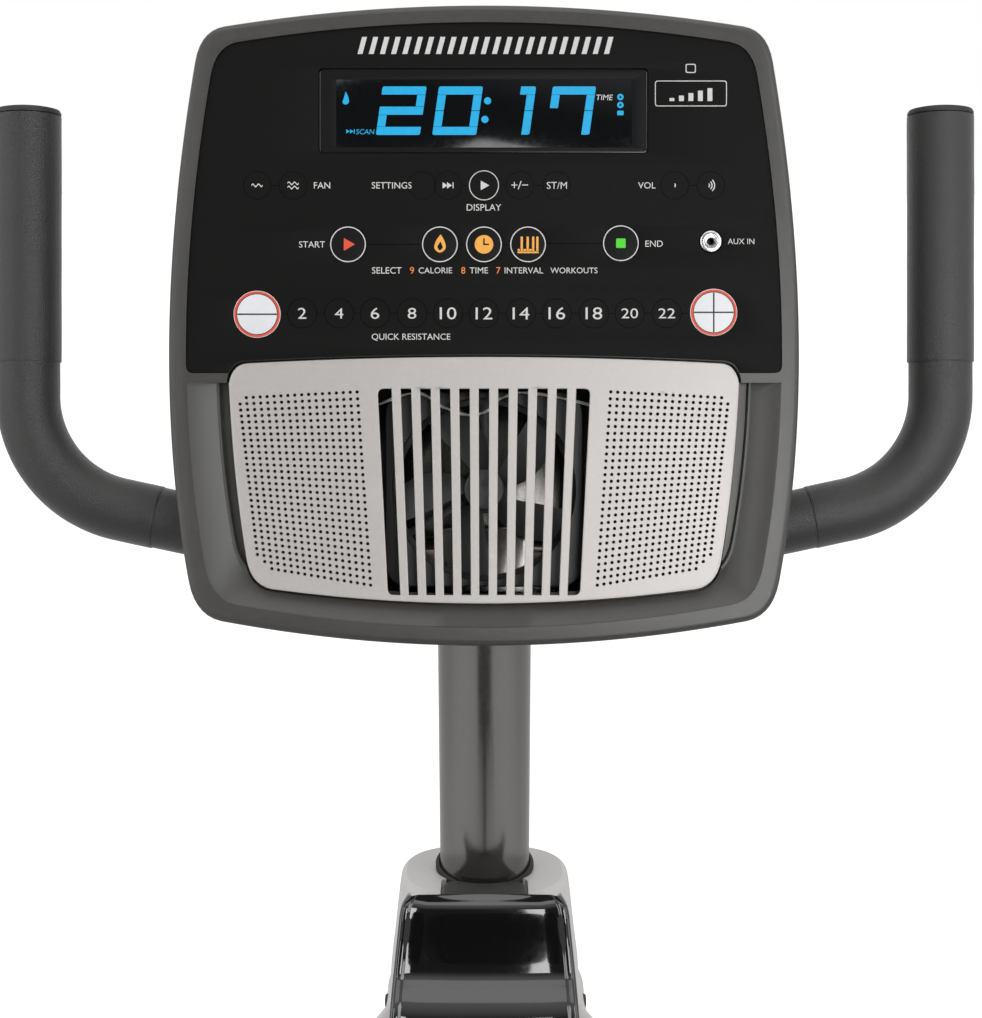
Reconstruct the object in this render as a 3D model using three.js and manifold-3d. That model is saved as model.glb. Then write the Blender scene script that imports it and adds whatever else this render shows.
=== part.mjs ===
// A recumbent exercise bike: console, handlebar, mast, shroud, drive, pedals, sliding seat and frame.
// Millimetres, +Z up. The rider sits at -Y and looks along +Y. The origin is on the floor, in the middle.
import * as THREE from 'three';
import { mergeVertices } from 'three/addons/utils/BufferGeometryUtils.js';
import Module from 'manifold-3d';

const wasm = await Module();
wasm.setup();

/* ------------------------------------------------------------------ driving dimensions */

const GAP = 0.3; // between pieces that touch
const DEG = Math.PI / 180;
const CURVE_STEPS = 3; // facets along one rounded corner
const ROUND_SIDES = 16; // facets round a shaft
const TUBE_STEPS = 5; // a tube has twice as many sides
const BEND_STEP = 16 * DEG;
const FINE = { curveSegments: 4 };
const ALONG_X = new THREE.Vector3(1, 0, 0);
const ALONG_Z = new THREE.Vector3(0, 0, 1);

// Base
const BIKE_LENGTH = 1640;
const STABILIZER_LENGTH = 540;
const STABILIZER_DEPTH = 70;
const STABILIZER_HEIGHT = 44;
const STABILIZER_CLEARANCE = 18; // floor to the underside of the tube
const CAP_WIDTH = 34;
const CAP_HEIGHT = 66;
const WHEEL_RADIUS = 28;
const WHEEL_WIDTH = 20;
const WHEEL_CLEARANCE = 10; // floor to the wheel while the bike stands
const WHEEL_AXLE_RADIUS = 5;
const BEAM_WIDTH = 50;
const BEAM_HEIGHT = 70;
const BEAM_WALL = 2.5;
const END_PLATE = 3;
const DRAIN_RADIUS = 4;

// Seat rail and seat
const RAIL_SLOPE = 4 * DEG; // the rail climbs towards the rear
const RAIL_WIDTH = 72;
const RAIL_HEIGHT = 36;
const RAIL_LENGTH = 560;
const RAIL_LEAD = 95; // rail ahead of the knee in the beam
const SEAT_LEVER_TURN = 215; // where the release lever turns forward
const CARRIAGE_LENGTH = 220;
const CARRIAGE_WALL = 5;
const SLIDE_CLEARANCE = 1;
const SEAT_FROM_REAR = 405; // middle of the seat, from the rear end
const SEAT_WIDTH = 430;
const SEAT_DEPTH = 380;
const SEAT_THICKNESS = 76;
const SEAT_TILT = 5 * DEG;
const POST_HALF_WIDTH = 35;
const BOARD_THICKNESS = 14;
const BACK_WIDTH = 410;
const BACK_HEIGHT = 430;
const BACK_THICKNESS = 64;
const SEAT_HANDLE_REACH = 262;

// Mast and console placing
const MAST_RADIUS = 26;
const MAST_WALL = 2.5;
const MAST_LEAN = 12.3 * DEG; // towards the rider
const COLLAR_TOP_Z = 746;
const SHOULDER_Z = 676;
const COVER_BOTTOM = 530; // lower end of the glossy mast cover
const CONSOLE_Z = 1070; // centre of the console's face
const CONSOLE_TILT = 10 * DEG;

// Handlebar
const BAR_RADIUS = 12.7;
const BAR_WALL = 2;
const GRIP_RADIUS = 18;
const GRIP_REACH = 251; // grip axis from the middle
const GRIP_TOP = 119; // end of the foam above the console's centre
const GRIP_CAP = 4;
const BAR_BEHIND = 50; // bar axis behind the console's face
const BAR_DROP = 124; // bar axis below the console's centre
const BAR_BEND = 64.5;
const BAR_SLOPE = 12 * DEG;
const GRIP_START = 150; // where the foam begins, beside the console

// Console
const CONSOLE_HALF_HEIGHT = 169;
const CONSOLE_HALF_WIDTH = 166.3;
const BEZEL_DEPTH = 28;
const BEZEL_RIM = 9.5;
const CONSOLE_WALL = 3;
const BACK_DEPTH = 78; // face to the rear of the back housing
const BACK_SETBACK = 1; // the back housing's edge inside the bezel's
const OVERLAY_BOTTOM = -25.3;
const TROUGH_TOP = -30.3;
const TROUGH_DEPTH = 8.5;
const OVERLAY_POCKET = 2.2;
const OVERLAY_THICKNESS = 1.2;
const DISPLAY = { x: -0.3, y: 113, width: 173, height: 44 };
const KEY_TRAVEL_CLEARANCE = 0.3;
const KEY_LENGTH = 8;
const KEYS = [
  { name: 'key_minus', x: -119.5, y: 5.8, radius: 12.4 },
  { name: 'key_plus', x: 121, y: 6.8, radius: 12.4 },
  { name: 'key_start', x: -71.6, y: 42.6, radius: 9.6 },
  { name: 'key_end', x: 72.1, y: 43.2, radius: 9.6 },
  { name: 'key_calorie', x: -23.2, y: 42.6, radius: 9.6 },
  { name: 'key_time', x: 0, y: 42.6, radius: 9.6 },
  { name: 'key_interval', x: 23.2, y: 42.6, radius: 9.6 },
];
const JACK = { x: 119.5, y: 44.2, radius: 6, bore: 1.8 };
const GRILLE_TOP = -16.3;
const GRILLE_MARGIN = 22; // below the grille, down to the console's edge
const GRILLE_SIDE_MARGIN = 31.6;
const GRILLE_FRONT = 1.5;
const GRILLE_SHEET = 3;
const SLOT_COUNT = 11;
const SLOT_TOP = -33;
const SLOT_BOTTOM = -142.6;
const SLOT_HALF_TOP = 56.5; // half width of the whole block of slots
const SLOT_HALF_BOTTOM = 51;
const BAR_SHARE = 0.36; // share of the pitch that is bar
const FAN_Y = -86.3;
const FAN_RADIUS = 46;
const FAN_HUB = 11;
const FAN_BLADES = 5;
const FAN_BORE = 49;
const SPEAKER_X = 94;
const SPEAKER_RADIUS = 31;

// Drive
const SHROUD_HALF_WIDTH = 70.5;
const SHROUD_WALL = 3;
const CRANK_FROM_FRONT = 570;
const CRANK_Z = 385;
const CRANK_LENGTH = 160;
const ARM_THICKNESS = 16;
const AXLE_RADIUS = 10;
const PULLEY_RADIUS = 130;
const PULLEY_X = 38;
const PULLEY_WIDTH = 20;
const FLYWHEEL_AHEAD = 310; // flywheel shaft ahead of the crank
const FLYWHEEL_Z = 330;
const FLYWHEEL_RADIUS = 125;
const FLYWHEEL_WIDTH = 20;
const SMALL_PULLEY_RADIUS = 17;
const BELT_THICKNESS = 2.7;
const BELT_WIDTH = 16;
const BELT_CLEARANCE = 0.5;
const YOKE_GAP = 3;
const MOTOR_Z = 500;
const PEDAL_LENGTH = 100;
const PEDAL_DEPTH = 90;
const SPINDLE_RADIUS = 6;

/* ------------------------------------------------------------------ derived places */

const HALF_LENGTH = BIKE_LENGTH / 2;
const STABILIZER_TOP = STABILIZER_CLEARANCE + STABILIZER_HEIGHT;
const STABILIZER_Z = STABILIZER_CLEARANCE + STABILIZER_HEIGHT / 2;
const WHEEL_Y = HALF_LENGTH - WHEEL_RADIUS;
const WHEEL_Z = WHEEL_CLEARANCE + WHEEL_RADIUS;
const FRONT_STABILIZER_Y = WHEEL_Y - WHEEL_RADIUS - 4 - STABILIZER_DEPTH / 2;
const REAR_CAP_DEPTH = 90;
const REAR_STABILIZER_Y = -HALF_LENGTH + REAR_CAP_DEPTH / 2;
const CAP_X = STABILIZER_LENGTH / 2 + GAP;
const BEAM_Z = STABILIZER_TOP + GAP + BEAM_HEIGHT / 2;
const BEAM_TOP = BEAM_Z + BEAM_HEIGHT / 2;
const RAIL_KNEE = { y: -HALF_LENGTH + 490, z: 270 }; // where the beam levels out under the rail
const BEAM_END = REAR_STABILIZER_Y + 19;
const SEAT_Y = -HALF_LENGTH + SEAT_FROM_REAR;
const CRANK_Y = HALF_LENGTH - CRANK_FROM_FRONT;
const FLYWHEEL_Y = CRANK_Y + FLYWHEEL_AHEAD;
const MAST_Y = CRANK_Y - 0.2; // mast axis at the collar's top
const SEAT_BASE_Z = 355;
const YOKE = { from: -22 * DEG, to: 58 * DEG, inner: 105, outer: FLYWHEEL_RADIUS + 16 };
const YOKE_PIVOT = {
  y: FLYWHEEL_Y + (FLYWHEEL_RADIUS + 10) * Math.cos(-30 * DEG),
  z: FLYWHEEL_Z + (FLYWHEEL_RADIUS + 10) * Math.sin(-30 * DEG),
};
const INLET = { x: 36, z: 210, radius: 9, bore: 4 };
const mastY = (z) => MAST_Y + (COLLAR_TOP_Z - z) * Math.tan(MAST_LEAN);
const barZ = CONSOLE_Z - BAR_DROP * Math.cos(CONSOLE_TILT) - BAR_BEHIND * Math.sin(CONSOLE_TILT);
const barY = BAR_BEHIND * Math.cos(CONSOLE_TILT) - BAR_DROP * Math.sin(CONSOLE_TILT);
const CONSOLE_Y = mastY(barZ) - barY; // the handlebar's middle lies on the mast's axis
const GRILLE_BOTTOM = GRILLE_MARGIN - CONSOLE_HALF_HEIGHT;
const GRILLE_HALF_WIDTH = CONSOLE_HALF_WIDTH - GRILLE_SIDE_MARGIN;
const beamUnderside = (y) =>
  RAIL_KNEE.z + (RAIL_KNEE.y - y) * Math.tan(RAIL_SLOPE) - BEAM_HEIGHT / 2 / Math.cos(RAIL_SLOPE);

/* ------------------------------------------------------------------ finishes */

const finish = (color, roughness, metalness = 0) =>
  new THREE.MeshStandardMaterial({ color, roughness, metalness });
const finishes = {
  frame_steel: finish(0x3a3a3a, 0.42, 0.5),
  silver_plastic: finish(0xc4c0bf, 0.5),
  gloss_black: finish(0x070708, 0.08),
  charcoal_plastic: finish(0x3f3f3d, 0.5),
  black_plastic: finish(0x141414, 0.6),
  overlay_film: finish(0x0d0d0e, 0.35),
  grille_silver: finish(0xb7b4b2, 0.45, 0.3),
  key_white: finish(0xe8e8ea, 0.4),
  foam: finish(0x2c2c2b, 0.85),
  vinyl: finish(0x1d1d1e, 0.55),
  rubber: finish(0x121212, 0.8),
  bare_steel: finish(0xb8b8b8, 0.3, 1),
  aluminium: finish(0xc0c2c4, 0.35, 1),
  cast_iron: finish(0x4a4a4c, 0.55, 0.8),
  display_glass: finish(0x05070a, 0.05),
  wire: finish(0xd0d0cc, 0.5),
};

/* ------------------------------------------------------------------ helpers */

function solid(geometry) {
  const bare = geometry.index ? geometry.toNonIndexed() : geometry.clone();
  bare.deleteAttribute('normal');
  bare.deleteAttribute('uv');
  const merged = mergeVertices(bare, 1e-3);
  const mesh = new wasm.Mesh({
    numProp: 3,
    vertProperties: merged.attributes.position.array,
    triVerts: new Uint32Array(merged.index.array),
  });
  return new wasm.Manifold(mesh);
}

function geometryOf(body) {
  const data = body.getMesh();
  const geometry = new THREE.BufferGeometry();
  geometry.setAttribute('position', new THREE.BufferAttribute(data.vertProperties, 3));
  geometry.setIndex(new THREE.BufferAttribute(data.triVerts, 1));
  geometry.computeVertexNormals();
  return geometry;
}

const join = (...bodies) => bodies.reduce((all, body) => all.add(body));
const cut = (body, ...tools) => tools.reduce((left, tool) => left.subtract(tool), body);

function piece(parent, name, shape, material) {
  const geometry = shape.isBufferGeometry ? shape : geometryOf(shape);
  const mesh = new THREE.Mesh(geometry, finishes[material]);
  mesh.name = name;
  parent.add(mesh);
  return mesh;
}

// Boxes and cylinders as solids, by their limits.
function box(x0, x1, y0, y1, z0, z1) {
  const geometry = new THREE.BoxGeometry(x1 - x0, y1 - y0, z1 - z0);
  return solid(geometry.translate((x0 + x1) / 2, (y0 + y1) / 2, (z0 + z1) / 2));
}
function rodX(radius, x0, x1, y, z, sides = ROUND_SIDES) {
  const geometry = new THREE.CylinderGeometry(radius, radius, x1 - x0, sides).rotateZ(-90 * DEG);
  return solid(geometry.translate((x0 + x1) / 2, y, z));
}
function rodZ(radius, z0, z1, x, y, sides = ROUND_SIDES) {
  const geometry = new THREE.CylinderGeometry(radius, radius, z1 - z0, sides).rotateX(90 * DEG);
  return solid(geometry.translate(x, y, (z0 + z1) / 2));
}

// An outline of [x, y, corner] points; a corner is the length that the curve takes off each side,
// and never more than half a side.
function outline(points) {
  const shape = new THREE.Shape();
  const at = (i) => new THREE.Vector2(...points[(i + points.length) % points.length].slice(0, 2));
  points.forEach(([x, y, wanted = 0], i) => {
    const here = new THREE.Vector2(x, y);
    const corner = Math.min(wanted, 0.49 * here.distanceTo(at(i - 1)), 0.49 * here.distanceTo(at(i + 1)));
    const into = at(i - 1).sub(here).setLength(corner).add(here);
    const out = at(i + 1).sub(here).setLength(corner).add(here);
    if (i === 0) shape.moveTo(into.x, into.y);
    else shape.lineTo(into.x, into.y);
    if (corner) shape.quadraticCurveTo(x, y, out.x, out.y);
  });
  shape.closePath();
  return shape;
}
function roundedRect(width, height, corner, cx = 0, cy = 0) {
  const [x0, x1, y0, y1] = [cx - width / 2, cx + width / 2, cy - height / 2, cy + height / 2];
  return outline([[x0, y0, corner], [x1, y0, corner], [x1, y1, corner], [x0, y1, corner]]);
}
function circle(radius, x = 0, y = 0) {
  return new THREE.Shape().absarc(x, y, radius, 0, 2 * Math.PI, false);
}

// Extrusions: shape (a, b) becomes (x, y) along z, or (y, z) along x.
function slab(shape, z0, z1, options = {}) {
  const settings = { depth: z1 - z0, bevelEnabled: false, curveSegments: CURVE_STEPS, ...options };
  return solid(new THREE.ExtrudeGeometry(shape, settings).translate(0, 0, z0));
}
const TO_X = new THREE.Matrix4().set(0, 0, 1, 0, 1, 0, 0, 0, 0, 1, 0, 0, 0, 0, 0, 1);
function slabX(shape, x0, x1, options = {}) {
  const settings = { depth: x1 - x0, bevelEnabled: false, curveSegments: CURVE_STEPS, ...options };
  return solid(new THREE.ExtrudeGeometry(shape, settings).applyMatrix4(TO_X).translate(x0, 0, 0));
}
// Shape (a, b) becomes (x, z), from y0 to y1.
function slabY(shape, y0, y1, options = {}) {
  const settings = { depth: y1 - y0, bevelEnabled: false, curveSegments: CURVE_STEPS, ...options };
  return solid(new THREE.ExtrudeGeometry(shape, settings).rotateX(90 * DEG).translate(0, y1, 0));
}
// A slab whose long edges are rounded by `round` inside its outline.
function softSlab(shape, z0, z1, round, inset = 0, segments = 2, maker = slab) {
  return maker(shape, z0 + round, z1 - round, {
    bevelEnabled: true,
    bevelThickness: round,
    bevelSize: round,
    bevelOffset: -round - inset,
    bevelSegments: segments,
  });
}

// A route through corner points with round bends; its stations are the only places where a tube has rings.
// With a side vector, the section's x axis keeps to that vector all the way along.
class Route extends THREE.Curve {
  constructor(corners, side = null) {
    super();
    this.side = side;
    this.stations = [];
    corners.forEach(([x, y, z, radius = 0], i) => {
      const here = new THREE.Vector3(x, y, z);
      if (!radius) {
        this.stations.push(here);
        return;
      }
      const back = new THREE.Vector3(...corners[i - 1]).sub(here).normalize();
      const ahead = new THREE.Vector3(...corners[i + 1]).sub(here).normalize();
      const half = back.angleTo(ahead) / 2;
      const middle = back.clone().add(ahead).normalize();
      const centre = here.clone().addScaledVector(middle, radius / Math.sin(half));
      const from = here.clone().addScaledVector(back, radius / Math.tan(half)).sub(centre);
      const axis = new THREE.Vector3().crossVectors(ahead, back).normalize();
      const turn = Math.PI - 2 * half;
      const bendSteps = Math.max(1, Math.round(turn / BEND_STEP));
      for (let k = 0; k <= bendSteps; k++) {
        const spoke = from.clone().applyAxisAngle(axis, (turn * k) / bendSteps);
        this.stations.push(spoke.add(centre));
      }
    });
  }
  computeFrenetFrames(segments, closed) {
    const frames = super.computeFrenetFrames(segments, closed);
    if (this.side) {
      frames.normals = frames.tangents.map(() => this.side.clone());
      frames.binormals = frames.tangents.map((t) => new THREE.Vector3().crossVectors(t, this.side));
    }
    return frames;
  }
  get steps() {
    return this.stations.length - 1;
  }
  getUtoTmapping(u) {
    return u;
  }
  getPoint(t, target = new THREE.Vector3()) {
    const place = Math.min(Math.max(t, 0), 1) * this.steps;
    const i = Math.min(Math.floor(place), this.steps - 1);
    return target.lerpVectors(this.stations[i], this.stations[i + 1], place - i);
  }
}
function sweep(section, route, curveSegments = TUBE_STEPS) {
  const settings = { steps: route.steps, extrudePath: route, bevelEnabled: false, curveSegments };
  return solid(new THREE.ExtrudeGeometry(section, settings));
}
function ring(outer, inner) {
  const shape = circle(outer);
  if (inner) shape.holes.push(circle(inner));
  return shape;
}
function turned(profile, sides = 20) {
  return new THREE.LatheGeometry(profile.map(([r, h]) => new THREE.Vector2(r, h)), sides);
}

/* ------------------------------------------------------------------ base frame */

function stabilizerTube(y) {
  const round = STABILIZER_HEIGHT / 2;
  const shape = roundedRect(STABILIZER_DEPTH, STABILIZER_HEIGHT, round, y, STABILIZER_Z);
  const wall = 2 * BEAM_WALL;
  const [depth, height] = [STABILIZER_DEPTH - wall, STABILIZER_HEIGHT - wall];
  const bore = roundedRect(depth, height, round - BEAM_WALL, y, STABILIZER_Z);
  const half = STABILIZER_LENGTH / 2;
  return [slabX(shape, -half, half), slabX(bore, -half - 1, half + 1)];
}

// A plate that closes the end of a box section, but for a drain hole.
function drainedPlate(width, height, corner, y0, y1, middle = 0) {
  const shape = roundedRect(width, height, corner, 0, middle);
  shape.holes.push(circle(DRAIN_RADIUS, 0, middle));
  return slabY(shape, y0, y1, { curveSegments: 2 });
}

function buildBase(bike) {
  const [frontTube, frontBore] = stabilizerTube(FRONT_STABILIZER_Y);
  piece(bike, 'front_stabilizer', cut(frontTube, frontBore), 'frame_steel');

  // The rear tube carries the leg that holds up the beam.
  const [rearTube, rearBore] = stabilizerTube(REAR_STABILIZER_Y);
  const legShape = (inset) =>
    outline([
      [REAR_STABILIZER_Y - 28 + inset, STABILIZER_Z],
      [REAR_STABILIZER_Y + 28 - inset, STABILIZER_Z],
      [BEAM_END + 56 - inset, beamUnderside(BEAM_END + 56) - GAP + 2 * inset],
      [BEAM_END + inset, beamUnderside(BEAM_END) - GAP + 2 * inset],
    ]);
  const legHalf = BEAM_WIDTH / 2 - 2;
  const leg = slabX(legShape(0), -legHalf, legHalf);
  const legBore = slabX(legShape(BEAM_WALL), BEAM_WALL - legHalf, legHalf - BEAM_WALL);
  piece(bike, 'rear_stabilizer', cut(join(rearTube, leg), legBore, rearBore), 'frame_steel');

  // One bent box beam from the front foot up to the seat rail.
  const section = roundedRect(BEAM_WIDTH, BEAM_HEIGHT, 10);
  section.holes.push(roundedRect(BEAM_WIDTH - 2 * BEAM_WALL, BEAM_HEIGHT - 2 * BEAM_WALL, 8));
  const rearEnd = { y: BEAM_END, z: RAIL_KNEE.z + (RAIL_KNEE.y - BEAM_END) * Math.tan(RAIL_SLOPE) };
  const corners = [
    [0, FRONT_STABILIZER_Y + STABILIZER_DEPTH / 2, BEAM_Z],
    [0, RAIL_KNEE.y + 220, BEAM_Z, 170],
    [0, RAIL_KNEE.y, RAIL_KNEE.z, 170],
    [0, rearEnd.y, rearEnd.z],
  ];
  const route = new Route(corners, ALONG_X);
  const endPlate = (y0, y1) => drainedPlate(BEAM_WIDTH - 2, BEAM_HEIGHT - 2, 9, y0, y1);
  const front = endPlate(-END_PLATE, 0).translate([0, corners[0][1], BEAM_Z]);
  const rear = endPlate(0, END_PLATE).rotate([-RAIL_SLOPE / DEG, 0, 0]).translate([0, rearEnd.y, rearEnd.z]);
  piece(bike, 'main_beam', join(sweep(section, route, 1), front, rear), 'frame_steel');

  buildCapsAndWheels(bike);
}

function buildCapsAndWheels(bike) {
  const frontShape = outline([
    [FRONT_STABILIZER_Y - 46, 0, 8],
    [FRONT_STABILIZER_Y + 46, 0, 14],
    [WHEEL_Y + 22, 24, 12],
    [WHEEL_Y + 22, 52, 16],
    [FRONT_STABILIZER_Y + 30, CAP_HEIGHT, 20],
    [FRONT_STABILIZER_Y - 46, CAP_HEIGHT, 24],
  ]);
  const rearShape = roundedRect(REAR_CAP_DEPTH, CAP_HEIGHT, 12, REAR_STABILIZER_Y, CAP_HEIGHT / 2);
  const plugShape = (y) => roundedRect(STABILIZER_DEPTH - 8, STABILIZER_HEIGHT - 8, 14, y, STABILIZER_Z);
  for (const [side, name] of [[-1, 'left'], [1, 'right']]) {
    const x0 = side < 0 ? -CAP_X - CAP_WIDTH : CAP_X;
    const plugX = side < 0 ? -CAP_X - 1 : CAP_X - 14;
    const plug = (y) => slabX(plugShape(y), plugX, plugX + 15);
    const front = softSlab(frontShape, x0, x0 + CAP_WIDTH, 5, 0, 1, slabX);
    const axleX = side < 0 ? -CAP_X - 1 : CAP_X - WHEEL_WIDTH - 6;
    const axle = rodX(WHEEL_AXLE_RADIUS, axleX, axleX + WHEEL_WIDTH + 7, WHEEL_Y, WHEEL_Z, 12);
    piece(bike, `front_cap_${name}`, join(front, plug(FRONT_STABILIZER_Y), axle), 'rubber');
    const rear = softSlab(rearShape, x0, x0 + CAP_WIDTH, 5, 0, 1, slabX);
    piece(bike, `rear_cap_${name}`, join(rear, plug(REAR_STABILIZER_Y)), 'rubber');

    const rim = WHEEL_WIDTH / 2;
    const profile = [
      [WHEEL_AXLE_RADIUS + GAP, -rim],
      [WHEEL_RADIUS - 4, -rim],
      [WHEEL_RADIUS, -rim + 4],
      [WHEEL_RADIUS, rim - 4],
      [WHEEL_RADIUS - 4, rim],
      [WHEEL_AXLE_RADIUS + GAP, rim],
      [WHEEL_AXLE_RADIUS + GAP, -rim],
    ];
    const tyre = turned(profile).rotateZ(-90 * DEG);
    const wheel = piece(bike, `transport_wheel_${name}`, tyre, 'rubber');
    wheel.position.set(side * (CAP_X - 3 - rim), WHEEL_Y, WHEEL_Z);
  }
}

/* ------------------------------------------------------------------ seat */

function buildRail(bike) {
  const rail = new THREE.Group();
  rail.position.set(0, RAIL_KNEE.y, RAIL_KNEE.z);
  rail.rotation.x = -RAIL_SLOPE;
  bike.add(rail);
  const middle = BEAM_HEIGHT / 2 + GAP + RAIL_HEIGHT / 2;
  const section = roundedRect(RAIL_WIDTH, RAIL_HEIGHT, 5, 0, middle);
  section.holes.push(roundedRect(RAIL_WIDTH - 8, RAIL_HEIGHT - 8, 3, 0, middle));
  const extrusion = slabY(section, RAIL_LEAD - RAIL_LENGTH, RAIL_LEAD, { curveSegments: 2 });
  const endPlate = (y) => drainedPlate(RAIL_WIDTH - 2, RAIL_HEIGHT - 2, 4, y, y + END_PLATE, middle);
  const plates = [endPlate(RAIL_LEAD - RAIL_LENGTH), endPlate(RAIL_LEAD - END_PLATE)];
  piece(rail, 'seat_rail', join(extrusion, ...plates), 'aluminium');
}

// The carriage wraps the rail; the post, top plate and back tube are welded to it.
function buildSeatFrame(bike) {
  const railMiddle = BEAM_HEIGHT / 2 + GAP + RAIL_HEIGHT / 2;
  const cavity = [RAIL_WIDTH / 2 + SLIDE_CLEARANCE, RAIL_HEIGHT / 2 + SLIDE_CLEARANCE];
  const outer = [cavity[0] + CARRIAGE_WALL, cavity[1] + CARRIAGE_WALL];
  const lip = cavity[0] - 9;
  const carriageY = (SEAT_Y - RAIL_KNEE.y) / Math.cos(RAIL_SLOPE);
  const [y0, y1] = [carriageY - CARRIAGE_LENGTH / 2, carriageY + CARRIAGE_LENGTH / 2];
  const wrap = cut(
    slabY(roundedRect(2 * outer[0], 2 * outer[1], 4, 0, railMiddle), y0, y1, { curveSegments: 2 }),
    box(-cavity[0], cavity[0], y0 - 1, y1 + 1, railMiddle - cavity[1], railMiddle + cavity[1]),
    box(-lip, lip, y0 - 1, y1 + 1, railMiddle - outer[1] - 1, railMiddle),
  );
  const carriage = wrap.rotate([-RAIL_SLOPE / DEG, 0, 0]).translate([0, RAIL_KNEE.y, RAIL_KNEE.z]);

  const plateY = (y) => SEAT_Y + y;
  const carriageTop = (y) =>
    RAIL_KNEE.z + (RAIL_KNEE.y - y) * Math.tan(RAIL_SLOPE) + (railMiddle + outer[1]) / Math.cos(RAIL_SLOPE);
  const plateZ = (y) => SEAT_BASE_Z + 65 + (y - SEAT_Y) * Math.tan(SEAT_TILT);
  const cheek = outline([
    [plateY(-75), carriageTop(plateY(-75)) - 2],
    [plateY(75), carriageTop(plateY(75)) - 2],
    [plateY(105), plateZ(plateY(105)) + 1],
    [plateY(-105), plateZ(plateY(-105)) + 1],
  ]);
  const cheekIn = POST_HALF_WIDTH - 4;
  const cheeks = [slabX(cheek, -POST_HALF_WIDTH, -cheekIn), slabX(cheek, cheekIn, POST_HALF_WIDTH)];
  const plate = slab(roundedRect(200, 300, 20), -3, 3)
    .rotate([SEAT_TILT / DEG, 0, 0])
    .translate([0, SEAT_Y, SEAT_BASE_Z + 65]);
  const tube = roundedRect(60, 25, 6);
  tube.holes.push(roundedRect(55, 20, 4));
  const backTube = sweep(
    tube,
    new Route(
      [
        [0, SEAT_Y - 100, SEAT_BASE_Z + 46],
        [0, SEAT_Y - 220, SEAT_BASE_Z + 34, 50],
        [0, SEAT_Y - 320, SEAT_BASE_Z + 470],
      ],
      ALONG_X,
    ),
    2,
  );
  piece(bike, 'seat_frame', join(carriage, ...cheeks, plate, backTube), 'frame_steel');
}

function buildSeatPan(bike) {
  const pan = new THREE.Group();
  pan.position.set(0, SEAT_Y, SEAT_BASE_Z + 65);
  pan.rotation.x = SEAT_TILT;
  bike.add(pan);
  const half = SEAT_WIDTH / 2;
  const shape = (inset) =>
    outline([
      [-half + inset, -SEAT_DEPTH / 2 + inset, 70],
      [half - inset, -SEAT_DEPTH / 2 + inset, 70],
      [half - 12 - inset, SEAT_DEPTH / 2 - 110, 70],
      [half - 60 - inset, SEAT_DEPTH / 2 - inset, 60],
      [-half + 60 + inset, SEAT_DEPTH / 2 - inset, 60],
      [-half + 12 + inset, SEAT_DEPTH / 2 - 110, 70],
    ]);
  const board = 3 + GAP;
  piece(pan, 'seat_board', slab(shape(8), board, board + BOARD_THICKNESS), 'black_plastic');
  const base = board + BOARD_THICKNESS + GAP;
  piece(pan, 'seat_cushion', softSlab(shape(0), base, base + SEAT_THICKNESS, 18), 'vinyl');
}

// The back leans along the tube; its own frame has y up the back and z away from the rider.
function buildBackrest(bike) {
  const back = new THREE.Group();
  const lean = Math.atan2(100, 436);
  back.position.set(0, SEAT_Y - 220 - 140 * Math.tan(lean), SEAT_BASE_Z + 34 + 140);
  back.rotation.x = 90 * DEG + lean;
  back.rotation.order = 'YXZ';
  bike.add(back);
  const half = BACK_WIDTH / 2;
  const shape = (inset) =>
    outline([
      [-half + 40 + inset, inset, 60],
      [half - 40 - inset, inset, 60],
      [half - inset, 150, 90],
      [half - 50 - inset, BACK_HEIGHT - inset, 90],
      [-half + 50 + inset, BACK_HEIGHT - inset, 90],
      [-half + inset, 150, 90],
    ]);
  const board = 12.5 + GAP;
  piece(back, 'backrest_shell', slab(shape(8), -board - BOARD_THICKNESS, -board), 'black_plastic');
  const base = board + BOARD_THICKNESS + GAP;
  piece(back, 'backrest_cushion', softSlab(shape(0), -base - BACK_THICKNESS, -base, 16), 'vinyl');
}

function buildSeatHandles(bike) {
  for (const [side, name] of [[-1, 'left'], [1, 'right']]) {
    const corners = [
      [side * (POST_HALF_WIDTH + GAP), SEAT_Y - 60, SEAT_BASE_Z + 40],
      [side * SEAT_HANDLE_REACH, SEAT_Y - 60, SEAT_BASE_Z + 40, 55],
      [side * SEAT_HANDLE_REACH, SEAT_Y - 30, SEAT_BASE_Z + 200, 50],
      [side * SEAT_HANDLE_REACH, SEAT_Y + 120, SEAT_BASE_Z + 238],
    ];
    const tube = sweep(ring(BAR_RADIUS), new Route(corners));
    const grip = sweep(
      ring(17),
      new Route([
        [corners[2][0], SEAT_Y - 2, SEAT_BASE_Z + 207],
        [corners[3][0], corners[3][1] + 4, corners[3][2] + 1],
      ]),
    );
    piece(bike, `seat_handle_${name}`, join(tube, grip), 'foam');
  }
}

// The lever turns about its own rod; its paddle points forward.
function buildSeatLever(bike) {
  const y = SEAT_Y + 90;
  const z = SEAT_BASE_Z + 25;
  const rod = rodX(5, POST_HALF_WIDTH + GAP, SEAT_LEVER_TURN, y, z, 10);
  const side = outline([
    [y - 12, z - 8, 6],
    [y + 50, z - 10, 20],
    [y + 98, z - 4, 5],
    [y + 98, z + 9, 5],
    [y + 50, z + 6, 20],
    [y - 12, z + 8, 6],
  ]);
  const paddle = softSlab(side, SEAT_LEVER_TURN - 13, SEAT_LEVER_TURN + 13, 2, 0, 1, slabX);
  piece(bike, 'seat_lever', join(rod, paddle), 'black_plastic');
}

/* ------------------------------------------------------------------ mast, shroud and drive frame */

function mastCylinder(radius, z0, z1, sides = 20) {
  const reach = (z) => (z - COLLAR_TOP_Z) / Math.cos(MAST_LEAN);
  return rodZ(radius, reach(z0), reach(z1), 0, 0, sides)
    .rotate([MAST_LEAN / DEG, 0, 0])
    .translate([0, MAST_Y, COLLAR_TOP_Z]);
}

const POST_TOP = 640;
const MAST_BOTTOM = 560;

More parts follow.
